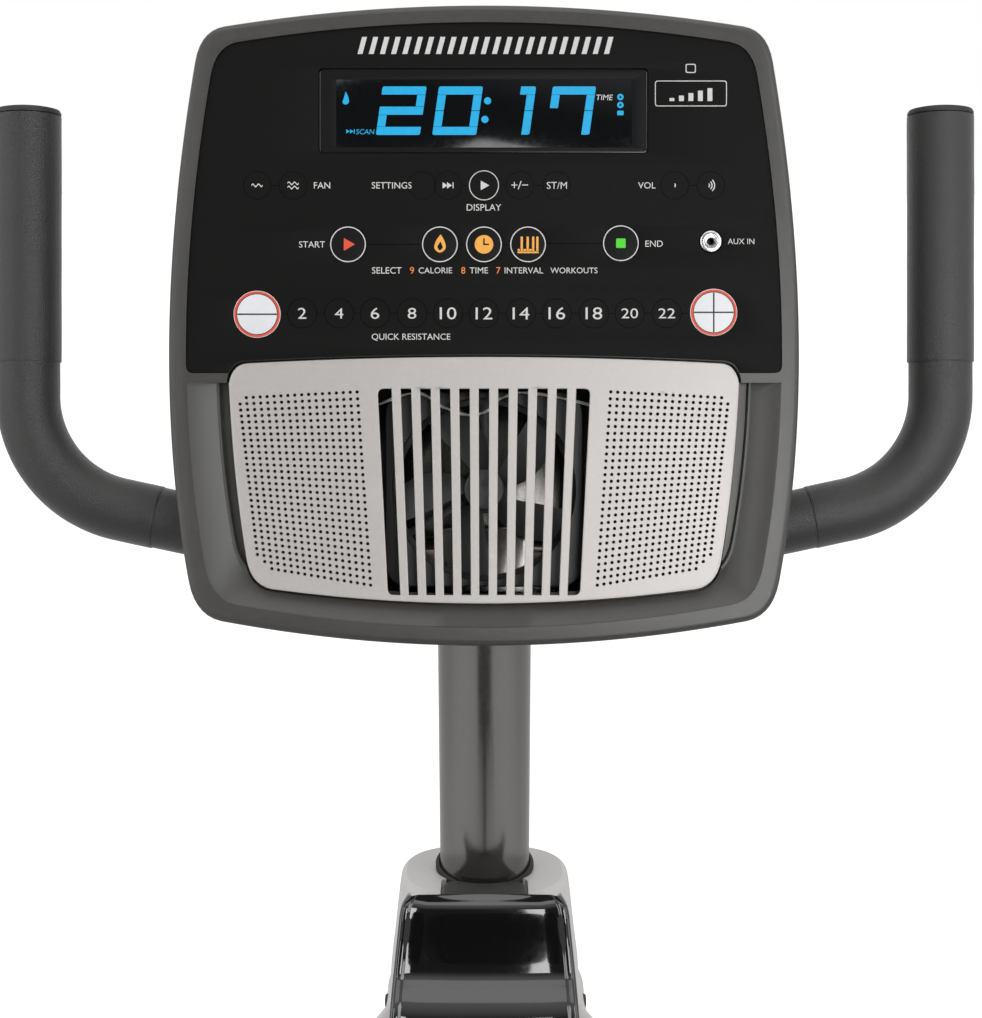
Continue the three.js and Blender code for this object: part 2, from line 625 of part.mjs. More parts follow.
function buildDriveFrame(bike) {
  const post = mastCylinder(MAST_RADIUS + GAP + 4, 60, POST_TOP);
  const bottomBracket = rodX(24, -34, 34, CRANK_Y, CRANK_Z);
  const gusset = slabX(
    outline([
      [CRANK_Y, CRANK_Z - 20],
      [mastY(BEAM_TOP) - 20, BEAM_TOP],
      [mastY(BEAM_TOP) + 60, BEAM_TOP],
      [mastY(CRANK_Z) + 20, CRANK_Z],
      [mastY(480), 480],
      [CRANK_Y, CRANK_Z + 20],
    ]),
    -4,
    4,
  );
  const baseEnd = FLYWHEEL_Y + FLYWHEEL_RADIUS + 9;
  const base = box(-28, 28, mastY(BEAM_TOP) - 60, baseEnd, BEAM_TOP + GAP, BEAM_TOP + 6);
  const fork = outline([
    [FLYWHEEL_Y - 45, BEAM_TOP + 2],
    [FLYWHEEL_Y + 45, BEAM_TOP + 2],
    [FLYWHEEL_Y + 18, FLYWHEEL_Z + 18, 12],
    [FLYWHEEL_Y - 18, FLYWHEEL_Z + 18, 12],
  ]);
  const lug = outline([
    [YOKE_PIVOT.y - 22, BEAM_TOP + 2],
    [YOKE_PIVOT.y + 14, BEAM_TOP + 2],
    [YOKE_PIVOT.y + 10, YOKE_PIVOT.z + 10, 6],
    [YOKE_PIVOT.y - 10, YOKE_PIVOT.z + 10, 6],
  ]);
  const bothSides = (shape, x0, x1) => join(slabX(shape, x0, x1), slabX(shape, -x1, -x0));
  const frame = join(post, bottomBracket, gusset, base, bothSides(fork, 22, 27), bothSides(lug, 20, 25));
  const body = cut(
    frame,
    mastCylinder(MAST_RADIUS + GAP, 40, POST_TOP + 20),
    rodX(AXLE_RADIUS + GAP, -40, 40, CRANK_Y, CRANK_Z),
    rodX(8 + GAP, -40, 40, FLYWHEEL_Y, FLYWHEEL_Z, 20),
    rodX(5 + GAP, -40, 40, YOKE_PIVOT.y, YOKE_PIVOT.z, 16),
    box(-60, 60, CRANK_Y - 250, baseEnd + 50, 0, BEAM_TOP + GAP),
  );
  piece(bike, 'drive_frame', body, 'frame_steel');
}

// The shroud's side outline, as (y, z), round the crank's pulley, the mast's foot and the flywheel.
const shroudRear = CRANK_Y - PULLEY_RADIUS;
const shroudFront = FLYWHEEL_Y + FLYWHEEL_RADIUS;
const SHROUD_BOTTOM = BEAM_TOP + 5.7;
const shroudKnee = { y: shroudRear - 8, z: CRANK_Z + 125 };
const shoulderRear = CRANK_Y - 74;
const shroudBack = (z) =>
  shroudKnee.y + ((z - shroudKnee.z) / (SHOULDER_Z - shroudKnee.z)) * (shoulderRear - shroudKnee.y);
const shroudShape = outline([
  [shroudRear + 30, SHROUD_BOTTOM, 50],
  [shroudRear - 48, CRANK_Z - 95, 90],
  [shroudKnee.y, shroudKnee.z, 90],
  [shoulderRear, SHOULDER_Z, 28],
  [CRANK_Y + 80, SHOULDER_Z, 60],
  [FLYWHEEL_Y - 30, FLYWHEEL_Z + FLYWHEEL_RADIUS + 107, 90],
  [shroudFront + 15, FLYWHEEL_Z + FLYWHEEL_RADIUS + 19, 80],
  [shroudFront + 71, FLYWHEEL_Z, 80],
  [shroudFront + 53, SHROUD_BOTTOM, 40],
]);

function buildShroud(bike) {
  const outer = softSlab(shroudShape, -SHROUD_HALF_WIDTH, SHROUD_HALF_WIDTH, 10, 0, 2, slabX);
  const innerHalf = SHROUD_HALF_WIDTH - SHROUD_WALL;
  const inner = softSlab(shroudShape, -innerHalf, innerHalf, 8, SHROUD_WALL, 1, slabX);
  const shell = cut(
    outer,
    inner,
    mastCylinder(MAST_RADIUS + 2.5, POST_TOP, COLLAR_TOP_Z),
    rodX(AXLE_RADIUS + 14, -90, 90, CRANK_Y, CRANK_Z, 28),
    box(-40, 40, CRANK_Y, FLYWHEEL_Y + FLYWHEEL_RADIUS + 30, SHROUD_BOTTOM - 8, SHROUD_BOTTOM + 12),
  );
  const inletFront = shroudFront + 68;
  const inletRoom = circle(INLET.radius + GAP, INLET.x, INLET.z);
  const inlet = slabY(inletRoom, inletFront - 33, inletFront + 27, FINE);
  const reach = [shroudRear - 100, shroudFront + 100, 0, COLLAR_TOP_Z];
  const halfSpace = (side) => (side < 0 ? box(-200, -GAP / 2, ...reach) : box(GAP / 2, 200, ...reach));
  piece(bike, 'shroud_left', shell.intersect(halfSpace(-1)), 'silver_plastic');
  piece(bike, 'shroud_right', cut(shell.intersect(halfSpace(1)), inlet), 'silver_plastic');

  const socket = slabY(circle(INLET.radius, INLET.x, INLET.z), inletFront - 25, inletFront, FINE);
  const pinHole = slabY(circle(INLET.bore, INLET.x, INLET.z), inletFront - 13, inletFront + 5, FINE);
  piece(bike, 'power_inlet', cut(socket, pinHole), 'black_plastic');
}

// A tower whose level sections are rounded squares; each level is [z, half width, rear y, front y].
function tower(levels, sides = 24, squareness = 2.7) {
  const geometry = new THREE.CylinderGeometry(1, 1, 1, sides, levels.length - 1).rotateX(90 * DEG);
  const place = geometry.attributes.position;
  const power = (v) => Math.sign(v) * Math.abs(v) ** (2 / squareness);
  for (let i = 0; i < place.count; i++) {
    const at = Math.round((place.getZ(i) + 0.5) * (levels.length - 1));
    const [z, halfX, y0, y1] = levels[at];
    const x = power(place.getX(i)) * halfX;
    const y = (y0 + y1) / 2 + (power(place.getY(i)) * (y1 - y0)) / 2;
    place.setXYZ(i, x, y, z);
  }
  return solid(geometry);
}

function buildCollar(bike) {
  const low = SHOULDER_Z + GAP;
  const neck = tower([
    [low, 56, MAST_Y - 60, MAST_Y + 72],
    [low + 34, 52.5, MAST_Y - 54, MAST_Y + 55],
    [COLLAR_TOP_Z - 6, 49, MAST_Y - 46, MAST_Y + 43],
    [COLLAR_TOP_Z, 46, MAST_Y - 44, MAST_Y + 40],
  ]);
  // The rear of the neck is cut back for the glossy cover, whose tongue reaches the mast.
  const coverBack = MAST_Y - 45.8;
  const coverSide = outline([
    [coverBack, COLLAR_TOP_Z + 1],
    [coverBack - 7, COLLAR_TOP_Z - 40, 20],
    [shroudBack(SHOULDER_Z) - GAP, SHOULDER_Z + 1, 10],
    [shroudBack(COVER_BOTTOM) - GAP, COVER_BOTTOM],
    [shroudBack(COVER_BOTTOM) - 8, COVER_BOTTOM + 4],
    [shroudBack(SHOULDER_Z) - 10, SHOULDER_Z + 2, 16],
    [coverBack - 18, COLLAR_TOP_Z - 38, 20],
    [coverBack - 10, COLLAR_TOP_Z - 5, 6],
    [coverBack - 5, COLLAR_TOP_Z + 1],
  ]);
  const coverFront = outline([
    [-47, COLLAR_TOP_Z + 2],
    [-54, SHOULDER_Z + 10],
    [-60, COVER_BOTTOM - 10, 14],
    [60, COVER_BOTTOM - 10, 14],
    [54, SHOULDER_Z + 10],
    [47, COLLAR_TOP_Z + 2],
  ]);
  const tongueShape = (width, depth) => roundedRect(width, depth, 6, 0, coverBack + 8);
  const tongue = softSlab(tongueShape(49, 30), COLLAR_TOP_Z - 5, COLLAR_TOP_Z + 1, 1, 0, 1);
  const tongueRoom = slab(tongueShape(49 + 2 * GAP, 40), COLLAR_TOP_Z - 5 - GAP, COLLAR_TOP_Z + 3);
  const passage = mastCylinder(MAST_RADIUS + 2.5, SHOULDER_Z - 30, COLLAR_TOP_Z + 20);
  const rear = box(-80, 80, coverBack - 104, coverBack + GAP, SHOULDER_Z, COLLAR_TOP_Z + 10);
  piece(bike, 'mast_collar', cut(neck, passage, tongueRoom, rear), 'silver_plastic');

  const plate = slabX(coverSide, -62, 62).intersect(slabY(coverFront, coverBack - 104, coverBack + 6));
  const behind = box(-80, 80, coverBack - 104, coverBack - 1, SHOULDER_Z, COLLAR_TOP_Z + 10);
  const strip = cut(tongue, passage, behind);
  const bridge = box(-22, 22, coverBack - 6, coverBack, COLLAR_TOP_Z - 4, COLLAR_TOP_Z);
  piece(bike, 'mast_cover', join(plate, strip, bridge), 'gloss_black');
}

/* ------------------------------------------------------------------ crank, pedals, flywheel, brake */

function buildCrank(bike) {
  const web = PULLEY_X + PULLEY_WIDTH / 2;
  const axleEnd = SHROUD_HALF_WIDTH + 20;
  const rim = PULLEY_RADIUS - 12;
  const profile = [
    [0, -axleEnd],
    [AXLE_RADIUS, -axleEnd],
    [AXLE_RADIUS, PULLEY_X],
    [26, PULLEY_X],
    [26, web - 3],
    [rim, web - 3],
    [rim, PULLEY_X],
    [PULLEY_RADIUS, PULLEY_X],
    [PULLEY_RADIUS, PULLEY_X + PULLEY_WIDTH],
    [rim, PULLEY_X + PULLEY_WIDTH],
    [rim, web + 3],
    [26, web + 3],
    [AXLE_RADIUS, web + 3],
    [AXLE_RADIUS, axleEnd],
    [0, axleEnd],
  ];
  const pulley = piece(bike, 'crank_pulley', turned(profile, 28).rotateZ(-90 * DEG), 'black_plastic');
  pulley.position.set(0, CRANK_Y, CRANK_Z);

  // Right crank points forward, left crank back.
  for (const [side, name] of [[-1, 'left'], [1, 'right']]) {
    const endY = CRANK_Y + side * CRANK_LENGTH;
    const inner = SHROUD_HALF_WIDTH + 6;
    const [x0, x1] = side < 0 ? [-inner - ARM_THICKNESS, -inner] : [inner, inner + ARM_THICKNESS];
    const hub = rodX(23, x0, x1, CRANK_Y, CRANK_Z, 28);
    const end = rodX(15, x0, x1, endY, CRANK_Z, 20);
    const shank = slabX(
      outline([
        [CRANK_Y, CRANK_Z - 17],
        [endY, CRANK_Z - 12],
        [endY, CRANK_Z + 12],
        [CRANK_Y, CRANK_Z + 17],
      ]),
      x0 + 1.5,
      x1 - 1.5,
    );
    const reach = inner + ARM_THICKNESS + PEDAL_LENGTH;
    const [s0, s1] = side < 0 ? [-reach, -inner - 2] : [inner + 2, reach];
    const spindle = rodX(SPINDLE_RADIUS, s0, s1, endY, CRANK_Z, 14);
    const seat = rodX(AXLE_RADIUS + GAP, -120, 120, CRANK_Y, CRANK_Z);
    piece(bike, `crank_arm_${name}`, cut(join(hub, end, shank, spindle), seat), 'frame_steel');
    buildPedal(bike, side, name, endY);
  }
}

function buildPedal(bike, side, name, y) {
  const inner = SHROUD_HALF_WIDTH + 6 + ARM_THICKNESS + 4;
  const [x0, x1] = side < 0 ? [-inner - PEDAL_LENGTH, -inner] : [inner, inner + PEDAL_LENGTH];
  const half = PEDAL_DEPTH / 2;
  const shape = outline([
    [y - half, CRANK_Z - 8, 9],
    [y - half + 22, CRANK_Z - 22, 12],
    [y + half - 22, CRANK_Z - 22, 12],
    [y + half, CRANK_Z - 8, 9],
    [y + half, CRANK_Z + 12, 9],
    [y - half, CRANK_Z + 12, 9],
  ]);
  const body = softSlab(shape, x0, x1, 3, 0, 1, slabX);
  const bore = rodX(SPINDLE_RADIUS + GAP, x0 - 1, x1 + 1, y, CRANK_Z, 14);
  piece(bike, `pedal_${name}`, cut(body, bore), 'black_plastic');

  const middle = (x0 + x1) / 2;
  const arch = (grow) => {
    const shape2 = new THREE.Shape();
    shape2.absellipse(middle, CRANK_Z, 47 + grow, 68 + grow, 0, Math.PI, false);
    return shape2;
  };
  const strap = cut(
    slabY(arch(1.3), y - 10, y + 26, { curveSegments: 14 }),
    slabY(arch(-1.3), y - 11, y + 27, { curveSegments: 14 }),
    box(x0 - 5, x1 + 5, y - 40, y + 40, CRANK_Z - 5, CRANK_Z + 12 + GAP),
  );
  piece(bike, `pedal_strap_${name}`, strap, 'rubber');
}

function buildFlywheel(bike) {
  const half = FLYWHEEL_WIDTH / 2;
  const profile = [
    [0, -30],
    [8, -30],
    [8, -16],
    [24, -16],
    [24, -5],
    [FLYWHEEL_RADIUS - 30, -5],
    [FLYWHEEL_RADIUS - 26, -half],
    [FLYWHEEL_RADIUS, -half],
    [FLYWHEEL_RADIUS, half],
    [FLYWHEEL_RADIUS - 26, half],
    [FLYWHEEL_RADIUS - 30, 5],
    [24, 5],
    [24, 16],
    [8, 16],
    [8, PULLEY_X],
    [SMALL_PULLEY_RADIUS, PULLEY_X],
    [SMALL_PULLEY_RADIUS, PULLEY_X + PULLEY_WIDTH],
    [0, PULLEY_X + PULLEY_WIDTH],
  ];
  const wheel = piece(bike, 'flywheel', turned(profile, 24).rotateZ(-90 * DEG), 'cast_iron');
  wheel.position.set(0, FLYWHEEL_Y, FLYWHEEL_Z);
}

// The belt runs round both pulleys on its two common tangents.
function buildBelt(bike) {
  const dy = FLYWHEEL_Y - CRANK_Y;
  const dz = FLYWHEEL_Z - CRANK_Z;
  const heading = Math.atan2(dz, dy);
  const spread = Math.acos((PULLEY_RADIUS - SMALL_PULLEY_RADIUS) / Math.hypot(dy, dz));
  const loop = (grow) => {
    const shape = new THREE.Shape();
    const [large, small] = [PULLEY_RADIUS + grow, SMALL_PULLEY_RADIUS + grow];
    const [low, high] = [heading - spread, heading + spread];
    shape.absarc(CRANK_Y, CRANK_Z, large, high, low + 2 * Math.PI, false);
    shape.absarc(FLYWHEEL_Y, FLYWHEEL_Z, small, low, high, false);
    shape.closePath();
    return shape;
  };
  const x0 = PULLEY_X + (PULLEY_WIDTH - BELT_WIDTH) / 2;
  const band = cut(
    slabX(loop(BELT_CLEARANCE + BELT_THICKNESS), x0, x0 + BELT_WIDTH, { curveSegments: 14 }),
    slabX(loop(BELT_CLEARANCE), x0 - 1, x0 + BELT_WIDTH + 1, { curveSegments: 14 }),
  );
  piece(bike, 'drive_belt', band, 'rubber');
}

// A U section arc over the flywheel's front edge, hinged at its foot.
function buildBrake(bike) {
  const sector = (inner, outer, from, to) => {
    const shape = new THREE.Shape();
    shape.absarc(FLYWHEEL_Y, FLYWHEEL_Z, outer, from, to, false);
    shape.absarc(FLYWHEEL_Y, FLYWHEEL_Z, inner, to, from, true);
    shape.closePath();
    return shape;
  };
  const cheek = FLYWHEEL_WIDTH / 2 + YOKE_GAP;
  const block = slabX(sector(YOKE.inner, YOKE.outer, YOKE.from, YOKE.to), -cheek - 5, cheek + 5);
  const slot = slabX(
    sector(YOKE.inner - 1, FLYWHEEL_RADIUS + YOKE_GAP, YOKE.from - 2 * DEG, YOKE.to + 2 * DEG),
    -cheek,
    cheek,
  );
  const foot = slabX(
    sector(FLYWHEEL_RADIUS + YOKE_GAP, YOKE.outer, -33 * DEG, YOKE.from + DEG),
    -cheek - 5,
    cheek + 5,
  );
  const pin = rodX(5, -25, 25, YOKE_PIVOT.y, YOKE_PIVOT.z, 16);
  piece(bike, 'brake_yoke', join(cut(block, slot), foot, pin), 'aluminium');

  const motorY = CRANK_Y + 190;
  const motor = join(
    softSlab(roundedRect(64, 46, 6, motorY, MOTOR_Z), -24, 24, 3, 0, 1, slabX),
    box(-14, 14, mastY(MOTOR_Z) + MAST_RADIUS + 7, motorY - 30, MOTOR_Z - 6, MOTOR_Z),
    rodX(10, 23, 34, motorY + 15, MOTOR_Z, 16),
  );
  piece(bike, 'resistance_motor', motor, 'black_plastic');
}

/* ------------------------------------------------------------------ handlebar and mast */

// Corner points in the console's own frame: x right, y up the face, z towards the rider.
const bendTop = -34;
const cornerY = bendTop - BAR_BEND * Math.tan((90 * DEG - BAR_SLOPE) / 2);
const kneeX = GRIP_REACH - (BAR_DROP + cornerY) / Math.tan(BAR_SLOPE);

// The bar from end to end or, with a start, only from that x to the right end.
function barRoute(start = null) {
  const right = [
    [kneeX, -BAR_DROP, -BAR_BEHIND, 70],
    [GRIP_REACH, cornerY, -BAR_BEHIND, BAR_BEND],
    [GRIP_REACH, GRIP_TOP, -BAR_BEHIND],
  ];
  if (start) {
    const startY = cornerY - (GRIP_REACH - start) * Math.tan(BAR_SLOPE);
    return new Route([[start, startY, -BAR_BEHIND], right[1], right[2]], ALONG_Z);
  }
  const left = right.map(([x, y, z, r]) => [-x, y, z, r]).reverse();
  return new Route([...left, ...right], ALONG_Z);
}

function consoleGroup(bike) {
  const group = new THREE.Group();
  group.position.set(0, CONSOLE_Y, CONSOLE_Z);
  group.rotation.x = 90 * DEG - CONSOLE_TILT;
  bike.add(group);
  return group;
}
// A solid of the bike's frame, seen from the console's frame.
const toConsole = (body) =>
  body.translate([0, -CONSOLE_Y, -CONSOLE_Z]).rotate([CONSOLE_TILT / DEG - 90, 0, 0]);

function buildHandlebar(console_) {
  const tube = sweep(ring(BAR_RADIUS, BAR_RADIUS - BAR_WALL), barRoute());
  piece(console_, 'handlebar', tube, 'frame_steel');
  const foam = sweep(ring(GRIP_RADIUS, BAR_RADIUS + GAP), barRoute(GRIP_START));
  piece(console_, 'grip_right', foam, 'foam');
  piece(console_, 'grip_left', foam.mirror([1, 0, 0]), 'foam');
  for (const [side, name] of [[-1, 'left'], [1, 'right']]) {
    const plug = (BAR_RADIUS - BAR_WALL) * 0.96 - GAP;
    const profile = [
      [0, GRIP_TOP - 14],
      [plug, GRIP_TOP - 14],
      [plug, GRIP_TOP + GAP],
      [GRIP_RADIUS, GRIP_TOP + GAP],
      [GRIP_RADIUS, GRIP_TOP + GRIP_CAP - 1],
      [GRIP_RADIUS - 1, GRIP_TOP + GRIP_CAP],
      [0, GRIP_TOP + GRIP_CAP],
    ];
    const cap = piece(console_, `grip_cap_${name}`, turned(profile, 16), 'black_plastic');
    cap.position.set(side * GRIP_REACH, 0, -BAR_BEHIND);
  }
}

// The tube ends below the handlebar, which a clamp block on a rear plate holds.
function buildMast(console_) {
  const top = CONSOLE_Z - (BAR_DROP + 18) * Math.cos(CONSOLE_TILT);
  const bore = mastCylinder(MAST_RADIUS - MAST_WALL, MAST_BOTTOM - 10, top + 10);
  const tube = cut(mastCylinder(MAST_RADIUS, MAST_BOTTOM, top), bore);
  const plate = slab(roundedRect(90, 124, 10, 0, -BAR_DROP + 34), -BAR_BEHIND - 18, -BAR_BEHIND - 14);
  const clamp = box(-25, 25, -BAR_DROP - 22, -BAR_DROP + 18, -BAR_BEHIND - 15, -BAR_BEHIND + 15);
  const saddle = sweep(ring(BAR_RADIUS + GAP), barRoute());
  piece(console_, 'mast', cut(join(toConsole(tube), plate, clamp), saddle), 'frame_steel');
}

/* ------------------------------------------------------------------ console */

// The barrel-shaped console outline, made smaller all round by inset.
function consoleOutline(inset) {
  const [w, h] = [CONSOLE_HALF_WIDTH, CONSOLE_HALF_HEIGHT];
  const x = (fromSide) => (w - fromSide) * (1 - inset / w);
  const y = (fromEnd) => (h - fromEnd) * (1 - inset / h);
  const shape = new THREE.Shape();
  shape.moveTo(-x(29.3), y(11));
  shape.quadraticCurveTo(-x(16.5), y(13.2), -x(13.7), y(30));
  shape.quadraticCurveTo(-x(-12), -y(h - 13.8), -x(10.3), -y(34.3));
  shape.quadraticCurveTo(-x(13.6), -y(16.2), -x(27.3), -y(13));
  shape.quadraticCurveTo(0, -y(-13), x(27.3), -y(13));
  shape.quadraticCurveTo(x(13.6), -y(16.2), x(10.3), -y(34.3));
  shape.quadraticCurveTo(x(-12), -y(h - 13.8), x(13.7), y(30));
  shape.quadraticCurveTo(x(16.5), y(13.2), x(29.3), y(11));
  shape.quadraticCurveTo(0, y(-11), -x(29.3), y(11));
  return shape;
}
const above = (y) => box(-300, 300, y, 300, -200, 200);
const below = (y) => box(-300, 300, -300, y, -200, 200);

function grilleOutline(inset) {
  const x = (fromSide) => GRILLE_HALF_WIDTH - fromSide - inset;
  const top = GRILLE_TOP - inset;
  const low = GRILLE_BOTTOM + inset;
  const shape = new THREE.Shape();
  shape.moveTo(-x(8.9), top - 3.4);
  shape.quadraticCurveTo(-x(1.7), top - 4, -x(0), top - 13.2);
  shape.quadraticCurveTo(-x(2.4), (top + low) / 2, -x(9.4), low + 22.3);
  shape.quadraticCurveTo(-x(11.7), low + 10, -x(21.7), low + 7.6);
  shape.quadraticCurveTo(0, low - 7.6, x(21.7), low + 7.6);
  shape.quadraticCurveTo(x(11.7), low + 10, x(9.4), low + 22.3);
  shape.quadraticCurveTo(x(2.4), (top + low) / 2, x(0), top - 13.2);
  shape.quadraticCurveTo(x(1.7), top - 4, x(8.9), top - 3.4);
  shape.quadraticCurveTo(0, top + 3.4, -x(8.9), top - 3.4);
  return shape;
}

const keyHoles = (clearance) => KEYS.map((key) => rodZ(key.radius + clearance, -30, 5, key.x, key.y, 16));
const jackHole = rodZ(JACK.radius + GAP, -30, 5, JACK.x, JACK.y, 16);
const displayHole = (grow) =>
  box(
    DISPLAY.x - DISPLAY.width / 2 - grow,
    DISPLAY.x + DISPLAY.width / 2 + grow,
    DISPLAY.y - DISPLAY.height / 2 - grow,
    DISPLAY.y + DISPLAY.height / 2 + grow,
    -30,
    5,
  );

// The bezel is a shallow shell: a pocket for the overlay above, a trough round the grille below.
function buildBezel(console_) {
  const panel = (inset, z0, z1) => slab(consoleOutline(inset), z0, z1, FINE);
  const finely = (shape, z0, z1, options) => slab(shape, z0, z1, { ...options, ...FINE });
  const body = cut(
    softSlab(consoleOutline(0), -BEZEL_DEPTH - 3, 0, 3, 0, 2, finely),
    box(-200, 200, -200, 200, -BEZEL_DEPTH - 10, -BEZEL_DEPTH),
    panel(CONSOLE_WALL, -BEZEL_DEPTH - 1, -TROUGH_DEPTH - CONSOLE_WALL),
    panel(BEZEL_RIM + 2, -BEZEL_DEPTH, -OVERLAY_POCKET - 2.3).intersect(above(OVERLAY_BOTTOM + 8)),
    panel(BEZEL_RIM, -OVERLAY_POCKET, 5).intersect(above(OVERLAY_BOTTOM)),
    panel(BEZEL_RIM, -TROUGH_DEPTH, 5).intersect(below(TROUGH_TOP)),
    slab(grilleOutline(-GAP), -TROUGH_DEPTH, 5, FINE),
    slab(grilleOutline(6), -BEZEL_DEPTH, 5, FINE),
    displayHole(GAP),
    jackHole,
    ...keyHoles(KEY_TRAVEL_CLEARANCE),
  );
  piece(console_, 'console_bezel', body, 'charcoal_plastic');
}

function buildOverlay(console_) {
  const front = -OVERLAY_POCKET + GAP + OVERLAY_THICKNESS;
  const sheet = slab(consoleOutline(BEZEL_RIM + GAP), front - OVERLAY_THICKNESS, front, FINE);
  const film = cut(
    sheet.intersect(above(OVERLAY_BOTTOM + GAP)),
    slab(grilleOutline(-2 * GAP), -10, 5, FINE),
    displayHole(GAP),
    jackHole,
    ...keyHoles(KEY_TRAVEL_CLEARANCE),
  );
  piece(console_, 'control_overlay', film, 'overlay_film');

  for (const key of KEYS) {
    const white = key.name === 'key_minus' || key.name === 'key_plus';
    const top = front + 0.3;
    const disc = new THREE.CylinderGeometry(key.radius, key.radius, KEY_LENGTH, 16).rotateX(90 * DEG);
    const mesh = piece(console_, key.name, disc, white ? 'key_white' : 'overlay_film');
    mesh.position.set(key.x, key.y, top - KEY_LENGTH / 2);
  }

  const window = roundedRect(DISPLAY.width, DISPLAY.height, 2, DISPLAY.x, DISPLAY.y);
  piece(console_, 'display_lens', slab(window, -3.6, -1.6, { curveSegments: 2 }), 'display_glass');
  const board = box(DISPLAY.x - 80, DISPLAY.x + 80, DISPLAY.y - 30, DISPLAY.y + 24, -20, -6);
  piece(console_, 'display_board', board, 'black_plastic');

  const jack = turned(
    [
      [JACK.bore, -12],
      [4, -12],
      [4, -3],
      [JACK.radius, -3],
      [JACK.radius, -0.6],
      [JACK.radius - 0.8, 0.2],
      [JACK.bore + 1.4, 0.2],
      [JACK.bore, -0.8],
      [JACK.bore, -12],
    ],
    12,
  ).rotateX(90 * DEG);
  piece(console_, 'aux_jack', jack, 'bare_steel').position.set(JACK.x, JACK.y, 0);
}

// Slot number i of the block, as a four-sided outline whose bars run together downwards.
function slotOutline(i) {
  const edge = (half, share) => -half + (2 * half * share) / SLOT_COUNT;
  const margin = BAR_SHARE / 2;
  const [a, b] = [i + (i ? margin : 0), i + 1 - (i < SLOT_COUNT - 1 ? margin : 0)];
  const round = (side) => (side ? 7 : 0);
  const first = i === 0;
  const last = i === SLOT_COUNT - 1;
  return outline([
    [edge(SLOT_HALF_TOP, a), SLOT_TOP, round(first)],
    [edge(SLOT_HALF_BOTTOM, a), SLOT_BOTTOM, round(first)],
    [edge(SLOT_HALF_BOTTOM, b), SLOT_BOTTOM, round(last)],
    [edge(SLOT_HALF_TOP, b), SLOT_TOP, round(last)],
  ]);
}

function buildGrille(console_) {
  const slot = (_, i) => slab(slotOutline(i), -20, 10, { curveSegments: 2 });
  const slots = Array.from({ length: SLOT_COUNT }, slot);
  const plate = cut(
    slab(grilleOutline(0.8), -TROUGH_DEPTH + GAP, GRILLE_FRONT, FINE),
    slab(grilleOutline(4), -20, GRILLE_FRONT - GRILLE_SHEET, FINE),
    ...slots,
  );
  piece(console_, 'speaker_grille', plate, 'grille_silver');
}

function buildFanAndSpeakers(console_) {
  const square = 2 * FAN_BORE + 8;
  const frame = cut(
    slab(roundedRect(square, square - 4, 14, 0, FAN_Y), -34, -12, { curveSegments: 3 }),
    rodZ(FAN_BORE, -31.5, 0, 0, FAN_Y, 24),
    rodZ(FAN_BORE - 2, -40, 0, 0, FAN_Y, 24),
  );
  const struts = [90, 210, 330].map((angle) =>
    box(8, FAN_BORE + 1, -2, 2, -34, -31.5).rotate([0, 0, angle]).translate([0, FAN_Y, 0]),
  );
  const pod = rodZ(13, -42, -31.5, 0, FAN_Y, 20);
  piece(console_, 'fan_mount', join(frame, pod, ...struts), 'black_plastic');

  const bladeShape = outline([
    [FAN_HUB - 2, -4],
    [FAN_RADIUS * 0.62, -15, 8],
    [FAN_RADIUS - 3, -6, 8],
    [FAN_RADIUS, 9, 6],
    [FAN_RADIUS * 0.6, 8, 8],
    [FAN_HUB - 2, 4],
  ]);
  const blade = slab(bladeShape, -0.8, 0.8, { curveSegments: 1 }).rotate([24, 0, 0]);
  const turnedBlade = (_, i) => blade.rotate([0, 0, 108 + (360 / FAN_BLADES) * i]);
  const blades = Array.from({ length: FAN_BLADES }, turnedBlade);
  const hub = rodZ(FAN_HUB, -7, 7, 0, 0, 20);
  const rotor = piece(console_, 'fan_rotor', join(hub, ...blades), 'black_plastic');
  rotor.position.set(0, FAN_Y, -22);

  for (const [side, name] of [[-1, 'left'], [1, 'right']]) {
    const profile = [
      [0, -36],
      [17, -36],
      [17, -27],
      [SPEAKER_RADIUS, -15],
      [SPEAKER_RADIUS, -12],
      [SPEAKER_RADIUS - 3, -12],
      [9, -21],
      [0, -18],
    ];
    const cone = turned(profile, 16).rotateX(90 * DEG);
    const speaker = piece(console_, `speaker_${name}`, cone, 'black_plastic');
    speaker.position.set(side * SPEAKER_X, FAN_Y, 0);
  }

  // The lead between the speakers hangs across the top of the fan.
  const lead = new THREE.CatmullRomCurve3(
    [
      [-80, -52, -14.5],
      [-58, -42, -10.5],
      [-36, -35, -9.5],
      [-22, -42.5, -8.5],
      [-8, -47, -8],
      [2, -44.5, -8],
      [9, -38, -8.5],
      [24, -35, -9.5],
      [58, -42, -10.5],
      [80, -52, -14.5],
    ].map((p) => new THREE.Vector3(...p)),
  );
  const settings = { steps: 24, extrudePath: lead, bevelEnabled: false, curveSegments: 2 };
  piece(console_, 'speaker_lead', new THREE.ExtrudeGeometry(circle(0.9), settings), 'wire');
}

